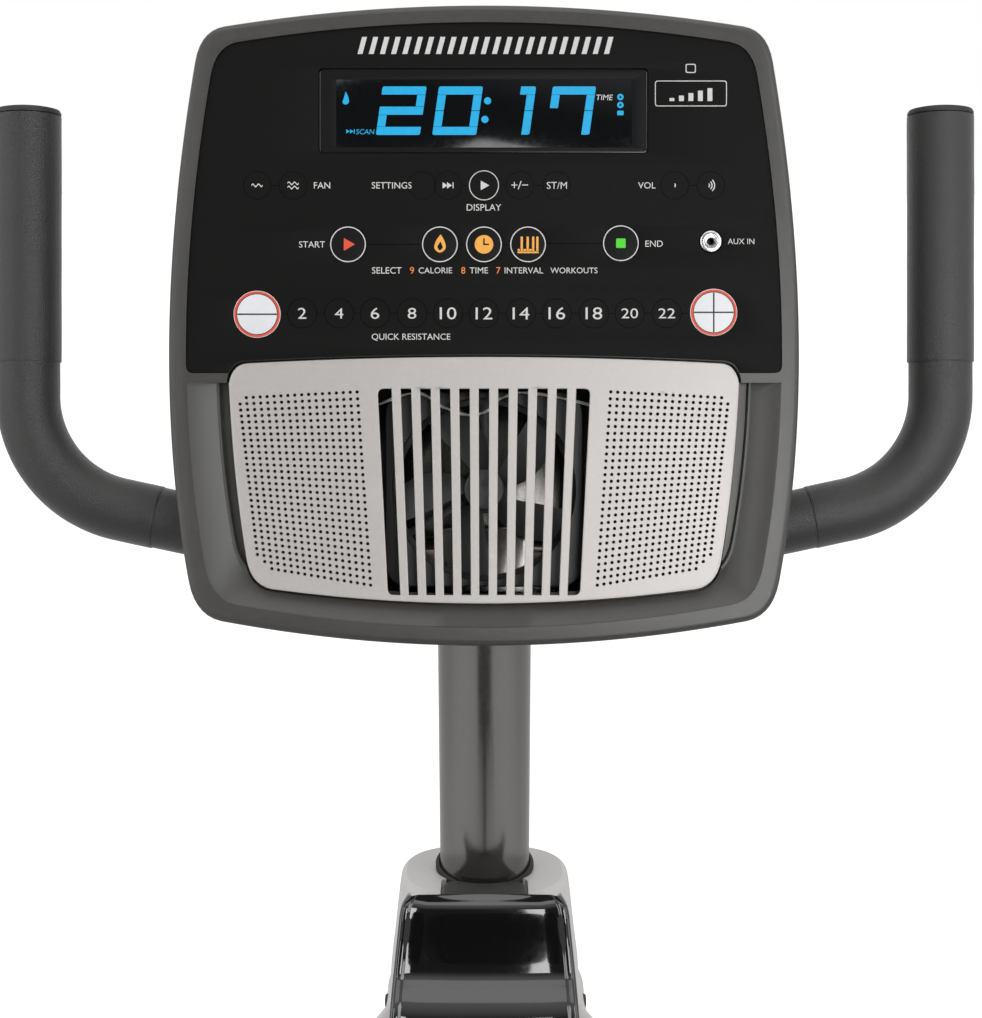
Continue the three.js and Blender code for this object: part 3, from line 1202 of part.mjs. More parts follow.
function buildBack(console_) {
  // The housing draws in towards its rear: slowly at first, then round to the flat back.
  const dome = (inset) => {
    const depth = BACK_DEPTH - BEZEL_DEPTH - inset;
    const settings = { depth, steps: 4, bevelEnabled: false, curveSegments: 4 };
    const geometry = new THREE.ExtrudeGeometry(consoleOutline(inset + BACK_SETBACK), settings);
    const place = geometry.attributes.position;
    for (let i = 0; i < place.count; i++) {
      const share = 1 - place.getZ(i) / depth;
      const scale = 1 - 0.2 * share ** 3;
      const z = -BEZEL_DEPTH - GAP - depth * Math.sin(share * 90 * DEG);
      place.setXYZ(i, place.getX(i) * scale, place.getY(i) * scale, z);
    }
    return solid(geometry);
  };
  const bar = sweep(ring(BAR_RADIUS + 1), barRoute());
  const foam = sweep(ring(GRIP_RADIUS + 1), barRoute(GRIP_START - 8));
  const mast = toConsole(mastCylinder(MAST_RADIUS + 1, CONSOLE_Z - 270, CONSOLE_Z - 110));
  const shell = cut(dome(0), dome(CONSOLE_WALL), bar, foam, foam.mirror([1, 0, 0]), mast);
  piece(console_, 'console_back', shell, 'charcoal_plastic');
}

/* ------------------------------------------------------------------ assembly */

const bike = new THREE.Group();
buildBase(bike);
buildRail(bike);
buildSeatFrame(bike);
buildSeatPan(bike);
buildBackrest(bike);
buildSeatHandles(bike);
buildSeatLever(bike);
buildDriveFrame(bike);
buildShroud(bike);
buildCollar(bike);
buildCrank(bike);
buildFlywheel(bike);
buildBelt(bike);
buildBrake(bike);
const consoleFrame = consoleGroup(bike);
buildHandlebar(consoleFrame);
buildMast(consoleFrame);
buildBezel(consoleFrame);
buildOverlay(consoleFrame);
buildGrille(consoleFrame);
buildFanAndSpeakers(consoleFrame);
buildBack(consoleFrame);

export default bike;
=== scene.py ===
import math

import bmesh
import bpy
from mathutils import Matrix, Vector
from mathutils.bvhtree import BVHTree


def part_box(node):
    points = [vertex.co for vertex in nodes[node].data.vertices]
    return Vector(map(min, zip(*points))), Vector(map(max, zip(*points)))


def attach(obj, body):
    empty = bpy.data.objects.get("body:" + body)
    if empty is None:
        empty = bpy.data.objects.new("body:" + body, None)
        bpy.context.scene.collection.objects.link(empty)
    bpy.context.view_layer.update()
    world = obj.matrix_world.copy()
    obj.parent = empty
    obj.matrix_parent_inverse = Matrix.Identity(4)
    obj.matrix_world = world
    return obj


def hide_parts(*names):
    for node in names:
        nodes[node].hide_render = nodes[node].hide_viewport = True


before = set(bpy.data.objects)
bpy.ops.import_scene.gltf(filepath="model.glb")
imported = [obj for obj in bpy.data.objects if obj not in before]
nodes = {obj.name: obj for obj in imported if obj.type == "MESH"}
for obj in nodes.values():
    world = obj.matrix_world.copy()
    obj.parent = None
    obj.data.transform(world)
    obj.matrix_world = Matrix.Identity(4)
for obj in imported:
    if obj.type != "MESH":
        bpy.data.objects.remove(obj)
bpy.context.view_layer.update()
scene = bpy.context.scene

# ------------------------------------------------------------------ places, in mm, as the frame has them

DEG = math.radians(1)
TILT = 10 * DEG
LEAN = 12.3 * DEG
CONSOLE_Z = 1070
COLLAR_TOP = 746
SHOULDER = 676
MAST_FOOT_Y = 249.8
MAST_RADIUS = 26
BAR_RADIUS = 12.7
BAR_BEHIND = 50
BAR_DROP = 124
BAR_BEND = 64.5
BAR_SLOPE = 12 * DEG
GRIP_RADIUS = 18
GRIP_REACH = 251
GRIP_TOP = 119
CONSOLE_WIDE = 166.3
CONSOLE_HIGH = 169
OVERLAY_FRONT = -0.7
CRANK = (250, 385)
SHROUD_WIDE = 70.5


def mast_y(z):
    return MAST_FOOT_Y + (COLLAR_TOP - z) * math.tan(LEAN)


BAR_Z = CONSOLE_Z - BAR_DROP * math.cos(TILT) - BAR_BEHIND * math.sin(TILT)
CONSOLE_Y = mast_y(BAR_Z) - BAR_BEHIND * math.cos(TILT) + BAR_DROP * math.sin(TILT)
MM = Matrix.Scale(0.001, 4)
CONSOLE = MM @ Matrix.Translation((0, CONSOLE_Y, CONSOLE_Z)) @ Matrix.Rotation(90 * DEG - TILT, 4, "X")
SIDEWAYS = Matrix(((0, 0, 1, 0), (1, 0, 0, 0), (0, 1, 0, 0), (0, 0, 0, 1)))  # (a, b, c) to (c, a, b)

# ------------------------------------------------------------------ camera, floor and light


def set_camera():
    view = bpy.data.cameras.new("camera")
    view.sensor_fit = "HORIZONTAL"
    view.sensor_width = 36
    view.lens = 76.6
    view.clip_end = 60
    camera = bpy.data.objects.new("camera", view)
    camera.location = (0.0037, -0.92, 1.1657)
    camera.rotation_euler = (90 * DEG - TILT, 0, 0)
    scene.collection.objects.link(camera)
    scene.camera = camera


def soft_light(name, place, aim, wide, high, watts):
    lamp = bpy.data.lights.new(name, "AREA")
    lamp.shape = "RECTANGLE"
    lamp.size = wide
    lamp.size_y = high
    lamp.energy = watts
    light = bpy.data.objects.new(name, lamp)
    light.location = place
    light.rotation_euler = (Vector(aim) - Vector(place)).to_track_quat("-Z", "Y").to_euler()
    scene.collection.objects.link(light)
    return light


def set_studio():
    scene.view_settings.view_transform = "Standard"
    world = bpy.data.worlds.new("studio")
    scene.world = world
    world.use_nodes = True
    tree = world.node_tree
    nodes_of = tree.nodes
    direction = nodes_of.new("ShaderNodeTexCoord")
    parts = nodes_of.new("ShaderNodeSeparateXYZ")
    tree.links.new(direction.outputs["Generated"], parts.inputs[0])
    # bright ahead of the rider and overhead, dim behind the rider
    ramps = []
    for axis, low, high, dim, bright in (("Y", -0.6, 0.3, 0.1, 0.8), ("Z", 0.3, 0.95, 0.0, 1.05)):
        ramp = nodes_of.new("ShaderNodeMapRange")
        ramp.interpolation_type = "SMOOTHSTEP"
        for name, number in (("From Min", low), ("From Max", high), ("To Min", dim), ("To Max", bright)):
            ramp.inputs[name].default_value = number
        tree.links.new(parts.outputs[axis], ramp.inputs["Value"])
        ramps.append(ramp.outputs["Result"])
    glow = nodes_of.new("ShaderNodeMath")
    glow.operation = "MAXIMUM"
    tree.links.new(ramps[0], glow.inputs[0])
    tree.links.new(ramps[1], glow.inputs[1])
    background = nodes_of["Background"]
    background.inputs["Color"].default_value = (1.0, 1.0, 1.0, 1.0)
    tree.links.new(glow.outputs[0], background.inputs["Strength"])
    backdrop = nodes_of.new("ShaderNodeBackground")
    backdrop.inputs["Color"].default_value = (1.0, 1.0, 1.0, 1.0)
    path = nodes_of.new("ShaderNodeLightPath")
    choice = nodes_of.new("ShaderNodeMixShader")
    tree.links.new(path.outputs["Is Camera Ray"], choice.inputs[0])
    tree.links.new(background.outputs[0], choice.inputs[1])
    tree.links.new(backdrop.outputs[0], choice.inputs[2])
    tree.links.new(choice.outputs[0], nodes_of["World Output"].inputs["Surface"])
    soft_light("light_left", (-1.7, -0.3, 1.3), (0, 0.2, 1.0), 0.8, 1.6, 7.5)
    soft_light("light_right", (1.65, -0.45, 1.3), (0, 0.2, 1.0), 0.8, 1.6, 6.5)
    soft_light("light_left_front", (-1.0, -1.25, 1.45), (0, 0.2, 0.95), 0.42, 1.5, 7)
    soft_light("light_right_front", (1.1, -1.2, 1.55), (0, 0.2, 0.95), 0.5, 1.5, 9)
    # a tall window behind the rider's right shoulder, seen only as a reflection
    window = soft_light("light_window", (0.37, -1.08, 1.06), (0.1, 0.2, 1.0), 0.42, 0.74, 7.5)
    window.visible_diffuse = False
    soft_light("light_above", (0.0, -0.5, 2.7), (0, 0.1, 0.8), 1.6, 1.2, 6)


set_camera()
set_studio()

# ------------------------------------------------------------------ modelling tools


def alone(obj):
    """Selects this object and nothing else."""
    bpy.ops.object.select_all(action="DESELECT")
    obj.select_set(True)
    bpy.context.view_layer.objects.active = obj


def apply_all(obj):
    alone(obj)
    for modifier in list(obj.modifiers):
        bpy.ops.object.modifier_apply(modifier=modifier.name)


def outward(obj, merge=0.0005):
    """Joins doubled corners and turns the faces outwards."""
    alone(obj)
    bpy.ops.object.mode_set(mode="EDIT")
    bpy.ops.mesh.select_all(action="SELECT")
    bpy.ops.mesh.remove_doubles(threshold=merge)
    bpy.ops.mesh.normals_make_consistent(inside=False)
    bpy.ops.object.mode_set(mode="OBJECT")


def join(name, pieces):
    alone(pieces[0])
    for other in pieces[1:]:
        other.select_set(True)
    if len(pieces) > 1:
        bpy.ops.object.join()
    pieces[0].name = name
    return pieces[0]


def carve(obj, cutters):
    """Takes each cutter's body out of the object."""
    for cutter in cutters:
        knife = obj.modifiers.new("carve", "BOOLEAN")
        knife.operation = "DIFFERENCE"
        knife.solver = "EXACT"
        knife.object = cutter
        alone(obj)
        bpy.ops.object.modifier_apply(modifier=knife.name)
        bpy.data.objects.remove(cutter)
    return obj


def seat_in(obj, matrix):
    obj.data.transform(matrix)
    obj.data.update()
    return obj


def finish_piece(obj, name, material, body, replaced=(), angle=35):
    """Names the piece, gives it its material and smooth shading, and hands it to its body."""
    obj.name = name
    obj.data.name = name
    obj.data.materials.clear()
    obj.data.materials.append(material)
    alone(obj)
    bpy.ops.object.shade_smooth_by_angle(angle=angle * DEG)
    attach(obj, body)
    if replaced:
        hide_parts(*replaced)
    return obj


def rounded(points, steps=7):
    """A closed outline from (x, y, corner) points; the corner is what the curve takes off each side."""
    loop = []
    for i, (x, y, wanted) in enumerate(points):
        here = Vector((x, y))
        before = Vector(points[i - 1][:2])
        after = Vector(points[(i + 1) % len(points)][:2])
        corner = min(wanted, 0.49 * (here - before).length, 0.49 * (here - after).length)
        if corner <= 0:
            loop.append((x, y))
            continue
        into = here + (before - here).normalized() * corner
        out = here + (after - here).normalized() * corner
        for k in range(steps + 1):
            t = k / steps
            point = into * (1 - t) ** 2 + here * (2 * t * (1 - t)) + out * t * t
            loop.append((point.x, point.y))
    return loop


def rounded_box(wide, high, corner, x=0.0, y=0.0, steps=7):
    a, b = wide / 2, high / 2
    return rounded(
        [(x - a, y - b, corner), (x + a, y - b, corner), (x + a, y + b, corner), (x - a, y + b, corner)],
        steps,
    )


def ring_of(radius, x=0.0, y=0.0, count=48):
    turns = [2 * math.pi * k / count for k in range(count)]
    return [(x + radius * math.cos(a), y + radius * math.sin(a)) for a in turns]


def drawn_face(points, z=0.0):
    """A flat face: a circle with as many corners as the outline, each put in its place."""
    bpy.ops.object.select_all(action="DESELECT")
    bpy.ops.mesh.primitive_circle_add(vertices=len(points), fill_type="NGON", location=(0, 0, 0))
    face = bpy.context.object
    for corner, (x, y) in zip(face.data.vertices, points):
        corner.co = (x, y, z)
    return face


def select_edges_at(obj, heights):
    """Selects the edges that lie flat at one of these heights."""
    mesh = bmesh.from_edit_mesh(obj.data)
    for edge in mesh.edges:
        a, b = (v.co.z for v in edge.verts)
        edge.select = any(abs(a - h) < 1e-4 and abs(b - h) < 1e-4 for h in heights)
    mesh.select_flush(True)
    bmesh.update_edit_mesh(obj.data)


def slab(points, low, high, top_round=0.0, low_round=0.0, segments=4):
    """An outline drawn out from low to high, with its two rims rounded over."""
    body = drawn_face(points, low)
    bpy.ops.object.mode_set(mode="EDIT")
    bpy.ops.mesh.select_all(action="SELECT")
    bpy.ops.mesh.extrude_region_move(TRANSFORM_OT_translate={"value": (0, 0, high - low)})
    bpy.ops.mesh.select_all(action="SELECT")
    bpy.ops.mesh.normals_make_consistent(inside=False)
    bpy.ops.mesh.select_mode(type="EDGE")
    for height, round_over in ((high, top_round), (low, low_round)):
        if round_over:
            bpy.ops.mesh.select_all(action="DESELECT")
            select_edges_at(body, [height])
            bpy.ops.mesh.bevel(offset=round_over, segments=segments, profile=0.5, clamp_overlap=True)
    bpy.ops.mesh.select_mode(type="VERT")
    bpy.ops.object.mode_set(mode="OBJECT")
    return body


def lofted(rings, closed=False):
    """Skins rings of equal count. Open ends get a face; a closed loft joins its last ring to its first."""
    mesh = bmesh.new()
    skins = [[mesh.verts.new(point) for point in ring] for ring in rings]
    pairs = list(zip(skins, skins[1:]))
    if closed:
        pairs.append((skins[-1], skins[0]))
    for lower, upper in pairs:
        for k in range(len(lower)):
            n = (k + 1) % len(lower)
            mesh.faces.new((lower[k], lower[n], upper[n], upper[k]))
    if not closed:
        mesh.faces.new(skins[0])
        mesh.faces.new(skins[-1])
    data = bpy.data.meshes.new("loft")
    mesh.to_mesh(data)
    mesh.free()
    obj = bpy.data.objects.new("loft", data)
    scene.collection.objects.link(obj)
    outward(obj, 1e-5)
    return obj


def turned(profile, steps=56):
    """Spins a profile of (radius, height) points about the local z axis."""
    data = bpy.data.meshes.new("turned")
    count = len(profile)
    edges = [(i, i + 1) for i in range(count - 1)]
    data.from_pydata([(r, 0, h) for r, h in profile], edges, [])
    obj = bpy.data.objects.new("turned", data)
    scene.collection.objects.link(obj)
    alone(obj)
    bpy.ops.object.mode_set(mode="EDIT")
    bpy.ops.mesh.select_all(action="SELECT")
    bpy.ops.mesh.spin(steps=steps, angle=2 * math.pi, center=(0, 0, 0), axis=(0, 0, 1))
    bpy.ops.mesh.select_all(action="SELECT")
    bpy.ops.mesh.remove_doubles(threshold=0.002)
    bpy.ops.mesh.normals_make_consistent(inside=False)
    bpy.ops.object.mode_set(mode="OBJECT")
    return obj


def bent(corners, step=5 * DEG):
    """The points of a route through (x, y, z, bend radius) corners."""
    points = []
    for i, corner in enumerate(corners):
        here = Vector(corner[:3])
        if len(corner) < 4:
            points.append(here)
            continue
        back = (Vector(corners[i - 1][:3]) - here).normalized()
        ahead = (Vector(corners[i + 1][:3]) - here).normalized()
        half = back.angle(ahead) / 2
        centre = here + (back + ahead).normalized() * (corner[3] / math.sin(half))
        start = here + back * (corner[3] / math.tan(half)) - centre
        axis = ahead.cross(back).normalized()
        turn = math.pi - 2 * half
        count = max(2, round(turn / step))
        for k in range(count + 1):
            points.append(centre + Matrix.Rotation(turn * k / count, 3, axis) @ start)
    return points


def spread(points, gap):
    """The same route with a point at least every gap."""
    route = [points[0]]
    for a, b in zip(points, points[1:]):
        count = max(1, math.ceil((b - a).length / gap))
        route += [a.lerp(b, k / count) for k in range(1, count + 1)]
    return route


def tube(points, radius, sides=32, radii=None, caps=True):
    """A round tube along a route, made as a bevelled curve and turned into a mesh."""
    curve = bpy.data.curves.new("tube", "CURVE")
    curve.dimensions = "3D"
    curve.bevel_depth = 1.0
    curve.bevel_resolution = max(0, sides // 4 - 1)
    curve.use_fill_caps = caps
    line = curve.splines.new("POLY")
    line.points.add(len(points) - 1)
    for k, (spot, point) in enumerate(zip(line.points, points)):
        spot.co = (*point, 1)
        spot.radius = radii[k] if radii else radius
    obj = bpy.data.objects.new("tube", curve)
    scene.collection.objects.link(obj)
    alone(obj)
    bpy.ops.object.convert(target="MESH")
    obj = bpy.context.object
    outward(obj, 1e-4)
    return obj


def swept(section, points, side):
    """Carries a flat section along a route, its first axis kept on the side vector."""
    rings = []
    for i, point in enumerate(points):
        ahead = (points[min(i + 1, len(points) - 1)] - points[max(i - 1, 0)]).normalized()
        up = side.cross(ahead).normalized()
        rings.append([point + side * a + up * b for a, b in section])
    return lofted(rings)


def smooth_levels(levels, count):
    """Eases a list of points or levels into many, passing through each of them."""
    result = []
    last = len(levels) - 1
    for i in range(last):
        before, here, there, after = (Vector(levels[min(max(k, 0), last)]) for k in range(i - 1, i + 3))
        for k in range(count):
            t = k / count
            square = 2 * before - 5 * here + 4 * there - after
            cube = 3 * here - before - 3 * there + after
            result.append(0.5 * (2 * here + (there - before) * t + square * t * t + cube * t ** 3))
    result.append(Vector(levels[-1]))
    return result


def flat_sheet(loops, z, thick=0.0, edge=0.0):
    """A sheet with holes from flat closed curves: the first loop is its outside."""
    curve = bpy.data.curves.new("sheet", "CURVE")
    curve.dimensions = "2D"
    curve.fill_mode = "BOTH" if thick else "FRONT"
    curve.extrude = max(thick / 2 - edge, 0)
    curve.bevel_depth = edge
    curve.bevel_resolution = 1
    curve.offset = -edge
    for loop in loops:
        line = curve.splines.new("POLY")
        line.points.add(len(loop) - 1)
        line.use_cyclic_u = True
        for spot, (x, y) in zip(line.points, loop):
            spot.co = (x, y, 0, 1)
    obj = bpy.data.objects.new("sheet", curve)
    scene.collection.objects.link(obj)
    alone(obj)
    bpy.ops.object.convert(target="MESH")
    obj = bpy.context.object
    seat_in(obj, Matrix.Translation((0, 0, z)))
    if thick:
        outward(obj, 1e-4)
    return obj


def lettering(words, x, y, wide, z, slant=0.0):
    """Plain words as a flat mesh, centred on x and y and made this wide."""
    bpy.ops.object.select_all(action="DESELECT")
    bpy.ops.object.text_add(location=(0, 0, 0))
    text = bpy.context.object
    text.data.body = words
    text.data.shear = slant
    text.data.resolution_u = 3
    bpy.ops.object.convert(target="MESH")
    text = bpy.context.object
    left, right = (end(v.co.x for v in text.data.vertices) for end in (min, max))
    low, high = (end(v.co.y for v in text.data.vertices) for end in (min, max))
    middle = Matrix.Translation((-(left + right) / 2, -(low + high) / 2, 0))
    size = Matrix.Scale(wide / (right - left), 4)
    return seat_in(text, Matrix.Translation((x, y, z)) @ size @ middle)

# ------------------------------------------------------------------ finishes


def shade(r, g, b):
    """A colour from its everyday 0 to 255 values."""
    return tuple(((c / 255 + 0.055) / 1.055) ** 2.4 if c > 10 else c / 3294.6 for c in (r, g, b)) + (1.0,)


def effect(name, inputs, outputs):
    tree = bpy.data.node_groups.new(name, "ShaderNodeTree")
    for label, value in inputs:
        socket = tree.interface.new_socket(label, in_out="INPUT", socket_type="NodeSocketFloat")
        socket.default_value = value
    for label in outputs:
        tree.interface.new_socket(label, in_out="OUTPUT", socket_type="NodeSocketFloat")
    return tree, tree.nodes.new("NodeGroupInput"), tree.nodes.new("NodeGroupOutput")


def add_node(tree, kind, settings=(), values=()):
    node = tree.nodes.new(kind)
    for name, value in settings:
        setattr(node, name, value)
    for name, value in values:
        node.inputs[name].default_value = value
    return node


def maths(tree, operation, first, second):
    """One Math node; each operand is a socket or a number."""
    node = add_node(tree, "ShaderNodeMath", [("operation", operation)])
    for socket, operand in zip(node.inputs, (first, second)):
        if isinstance(operand, (int, float)):
            socket.default_value = operand
        else:
            tree.links.new(operand, socket)
    return node.outputs[0]


def span(tree, value, low, high, to_low, to_high):
    node = add_node(tree, "ShaderNodeMapRange")
    for name, number in (("From Min", low), ("From Max", high), ("To Min", to_low), ("To Max", to_high)):
        if isinstance(number, (int, float)):
            node.inputs[name].default_value = number
        else:
            tree.links.new(number, node.inputs[name])
    tree.links.new(value, node.inputs["Value"])
    return node.outputs["Result"]


def make_grain():
    """Moulded or sprayed grain, and the slow change of tone over a surface."""
    tree, given, result = effect("grain", [("Scale", 1600.0)], ["Height", "Tone"])
    place = tree.nodes.new("ShaderNodeTexCoord")
    fine = add_node(tree, "ShaderNodeTexNoise", values=[("Detail", 2.0), ("Roughness", 0.6)])
    slow = add_node(tree, "ShaderNodeTexNoise", values=[("Scale", 9.0), ("Detail", 3.0)])
    speck = add_node(tree, "ShaderNodeTexNoise", values=[("Scale", 420.0), ("Detail", 2.0)])
    for node in (fine, slow, speck):
        tree.links.new(place.outputs["Object"], node.inputs["Vector"])
    tree.links.new(given.outputs["Scale"], fine.inputs["Scale"])
    tree.links.new(fine.outputs["Fac"], result.inputs["Height"])
    tone = maths(
        tree, "ADD", maths(tree, "MULTIPLY", slow.outputs["Fac"], 0.55),
        maths(tree, "MULTIPLY", speck.outputs["Fac"], 0.45),
    )
    tree.links.new(span(tree, tone, 0.32, 0.68, 0.0, 1.0), result.inputs["Tone"])
    return tree


def make_scuffs():
    """Fine rubbed streaks and small marks, as hands and cloths leave."""
    tree, given, result = effect("scuffs", [("Scale", 60.0), ("Cover", 0.5)], ["Mask"])
    place = tree.nodes.new("ShaderNodeTexCoord")
    turn = add_node(
        tree, "ShaderNodeMapping", values=[("Rotation", (0.3, 0.5, 0.7)), ("Scale", (1.0, 9.0, 2.0))],
    )
    tree.links.new(place.outputs["Object"], turn.inputs["Vector"])
    streak = add_node(tree, "ShaderNodeTexNoise", values=[("Detail", 6.0), ("Roughness", 0.7)])
    patch = add_node(tree, "ShaderNodeTexNoise", values=[("Scale", 6.0), ("Detail", 2.0)])
    tree.links.new(turn.outputs["Vector"], streak.inputs["Vector"])
    tree.links.new(place.outputs["Object"], patch.inputs["Vector"])
    tree.links.new(given.outputs["Scale"], streak.inputs["Scale"])
    thin = span(tree, streak.outputs["Fac"], 0.58, 0.72, 0.0, 1.0)
    wide = span(tree, patch.outputs["Fac"], 0.42, 0.65, 0.0, 1.0)
    both = maths(tree, "MULTIPLY", thin, wide)
    tree.links.new(maths(tree, "MULTIPLY", both, given.outputs["Cover"]), result.inputs["Mask"])
    return tree


def make_dust():
    """Dust that settles on what faces up."""
    tree, given, result = effect("dust", [("Amount", 0.1)], ["Mask"])
    facing = tree.nodes.new("ShaderNodeNewGeometry")
    parts = tree.nodes.new("ShaderNodeSeparateXYZ")
    tree.links.new(facing.outputs["Normal"], parts.inputs[0])
    place = tree.nodes.new("ShaderNodeTexCoord")
    drift = add_node(tree, "ShaderNodeTexNoise", values=[("Scale", 34.0), ("Detail", 5.0)])
    tree.links.new(place.outputs["Object"], drift.inputs["Vector"])
    up = span(tree, parts.outputs["Z"], 0.35, 1.0, 0.0, 1.0)
    soft = span(tree, drift.outputs["Fac"], 0.35, 0.75, 0.2, 1.0)
    both = maths(tree, "MULTIPLY", up, soft)
    tree.links.new(maths(tree, "MULTIPLY", both, given.outputs["Amount"]), result.inputs["Mask"])
    return tree


def make_weave():
    """Warp over weft, on two axes of the object's own place."""
    tree, given, result = effect("weave", [("Scale", 420.0)], ["Height", "Thread"])
    place = tree.nodes.new("ShaderNodeTexCoord")
    heights = []
    for axis in ("X", "Y"):
        band = add_node(
            tree, "ShaderNodeTexWave", [("bands_direction", axis)],
            [("Distortion", 0.6), ("Detail", 1.0), ("Detail Scale", 3.0)],
        )
        tree.links.new(place.outputs["Object"], band.inputs["Vector"])
        tree.links.new(given.outputs["Scale"], band.inputs["Scale"])
        heights.append(band.outputs["Fac"])
    rise = add_node(
        tree, "ShaderNodeTexWave", [("bands_direction", "Z")], [("Distortion", 0.6), ("Detail", 1.0)],
    )
    tree.links.new(place.outputs["Object"], rise.inputs["Vector"])
    tree.links.new(given.outputs["Scale"], rise.inputs["Scale"])
    flat = maths(tree, "MULTIPLY", heights[0], heights[1])
    tall = maths(tree, "MULTIPLY", heights[0], rise.outputs["Fac"])
    knit = maths(tree, "MAXIMUM", flat, tall)
    tree.links.new(knit, result.inputs["Height"])
    fleck = add_node(tree, "ShaderNodeTexNoise", values=[("Scale", 260.0), ("Detail", 3.0)])
    tree.links.new(place.outputs["Object"], fleck.inputs["Vector"])
    tree.links.new(maths(tree, "MULTIPLY", knit, fleck.outputs["Fac"]), result.inputs["Thread"])
    return tree


def make_cells():
    """The open pores of foam or the pebbles of moulded rubber."""
    tree, given, result = effect("cells", [("Scale", 900.0)], ["Height", "Pore"])
    place = tree.nodes.new("ShaderNodeTexCoord")
    cell = add_node(tree, "ShaderNodeTexVoronoi", [("feature", "F1")], [("Randomness", 1.0)])
    rough = add_node(tree, "ShaderNodeTexNoise", values=[("Scale", 2600.0), ("Detail", 3.0)])
    for node in (cell, rough):
        tree.links.new(place.outputs["Object"], node.inputs["Vector"])
    tree.links.new(given.outputs["Scale"], cell.inputs["Scale"])
    mixed = maths(tree, "ADD", cell.outputs["Distance"], maths(tree, "MULTIPLY", rough.outputs["Fac"], 0.6))
    tree.links.new(mixed, result.inputs["Height"])
    tree.links.new(span(tree, cell.outputs["Distance"], 0.1, 0.5, 0.0, 1.0), result.inputs["Pore"])
    return tree


grain, scuffs, dust = make_grain(), make_scuffs(), make_dust()
weave, cells = make_weave(), make_cells()
DUST_COLOUR = shade(150, 147, 142)


def use(tree, group, values=()):
    node = tree.nodes.new("ShaderNodeGroup")
    node.node_tree = group
    for name, value in values:
        node.inputs[name].default_value = value
    return node


def blended(tree, mask, first, second):
    """A colour between two, by the mask; each is a socket or a plain colour."""
    node = add_node(tree, "ShaderNodeMix", [("data_type", "RGBA")])
    tree.links.new(mask, node.inputs[0])
    for socket, colour in ((node.inputs[6], first), (node.inputs[7], second)):
        if isinstance(colour, tuple):
            socket.default_value = colour
        else:
            tree.links.new(colour, socket)
    return node.outputs[2]


def tinted(colour, factor):
    return tuple(min(1.0, c * factor) for c in colour[:3]) + (1.0,)


def moulded(
    name, colour, rough, bump=0.25, scale=1600.0, metal=0.0, tone=0.1, scuff=0.3, dusty=0.12,
    depth=0.00008, plain=(), relief=None,
):
    """A moulded, painted or machined finish: grain, slow tone, rubbed marks and settled dust."""
    material = bpy.data.materials.new(name)
    material.use_nodes = True
    tree = material.node_tree
    shader = tree.nodes["Principled BSDF"]
    skin = use(tree, grain, [("Scale", scale)])
    rubbed = use(tree, scuffs, [("Cover", scuff)])
    settled = use(tree, dust, [("Amount", dusty)])
    toned = blended(tree, skin.outputs["Tone"], tinted(colour, 1 - tone), tinted(colour, 1 + tone))
    marked = blended(tree, rubbed.outputs["Mask"], toned, tinted(colour, 1.5))
    dusted = blended(tree, settled.outputs["Mask"], marked, DUST_COLOUR)
    tree.links.new(dusted, shader.inputs["Base Color"])
    even = span(tree, skin.outputs["Tone"], 0.0, 1.0, max(rough - 0.05, 0.02), rough + 0.05)
    worn = maths(tree, "ADD", even, maths(tree, "MULTIPLY", rubbed.outputs["Mask"], 0.18))
    tree.links.new(
        maths(tree, "ADD", worn, maths(tree, "MULTIPLY", settled.outputs["Mask"], 0.3)),
        shader.inputs["Roughness"],
    )
    raised = add_node(tree, "ShaderNodeBump", values=[("Strength", bump), ("Distance", depth)])
    if relief:
        pattern = use(tree, relief[0], [("Scale", relief[1])])
        height = maths(
            tree, "ADD", pattern.outputs["Height"], maths(tree, "MULTIPLY", skin.outputs["Height"], 0.3),
        )
        tree.links.new(height, raised.inputs["Height"])
    else:
        tree.links.new(skin.outputs["Height"], raised.inputs["Height"])
    tree.links.new(raised.outputs["Normal"], shader.inputs["Normal"])
    shader.inputs["Metallic"].default_value = metal
    for socket, value in plain:
        shader.inputs[socket].default_value = value
    return material


def lit(name, colour, strength):
    """A glowing display segment, brighter in its middle tone than at its specks."""
    material = bpy.data.materials.new(name)
    material.use_nodes = True
    tree = material.node_tree
    shader = tree.nodes["Principled BSDF"]
    skin = use(tree, grain, [("Scale", 900.0)])
    glow = blended(tree, skin.outputs["Tone"], tinted(colour, 0.85), colour)
    tree.links.new(glow, shader.inputs["Emission Color"])
    tree.links.new(
        blended(tree, skin.outputs["Tone"], tinted(colour, 0.05), tinted(colour, 0.1)),
        shader.inputs["Base Color"],
    )
    shader.inputs["Emission Strength"].default_value = strength
    shader.inputs["Roughness"].default_value = 0.4
    return material


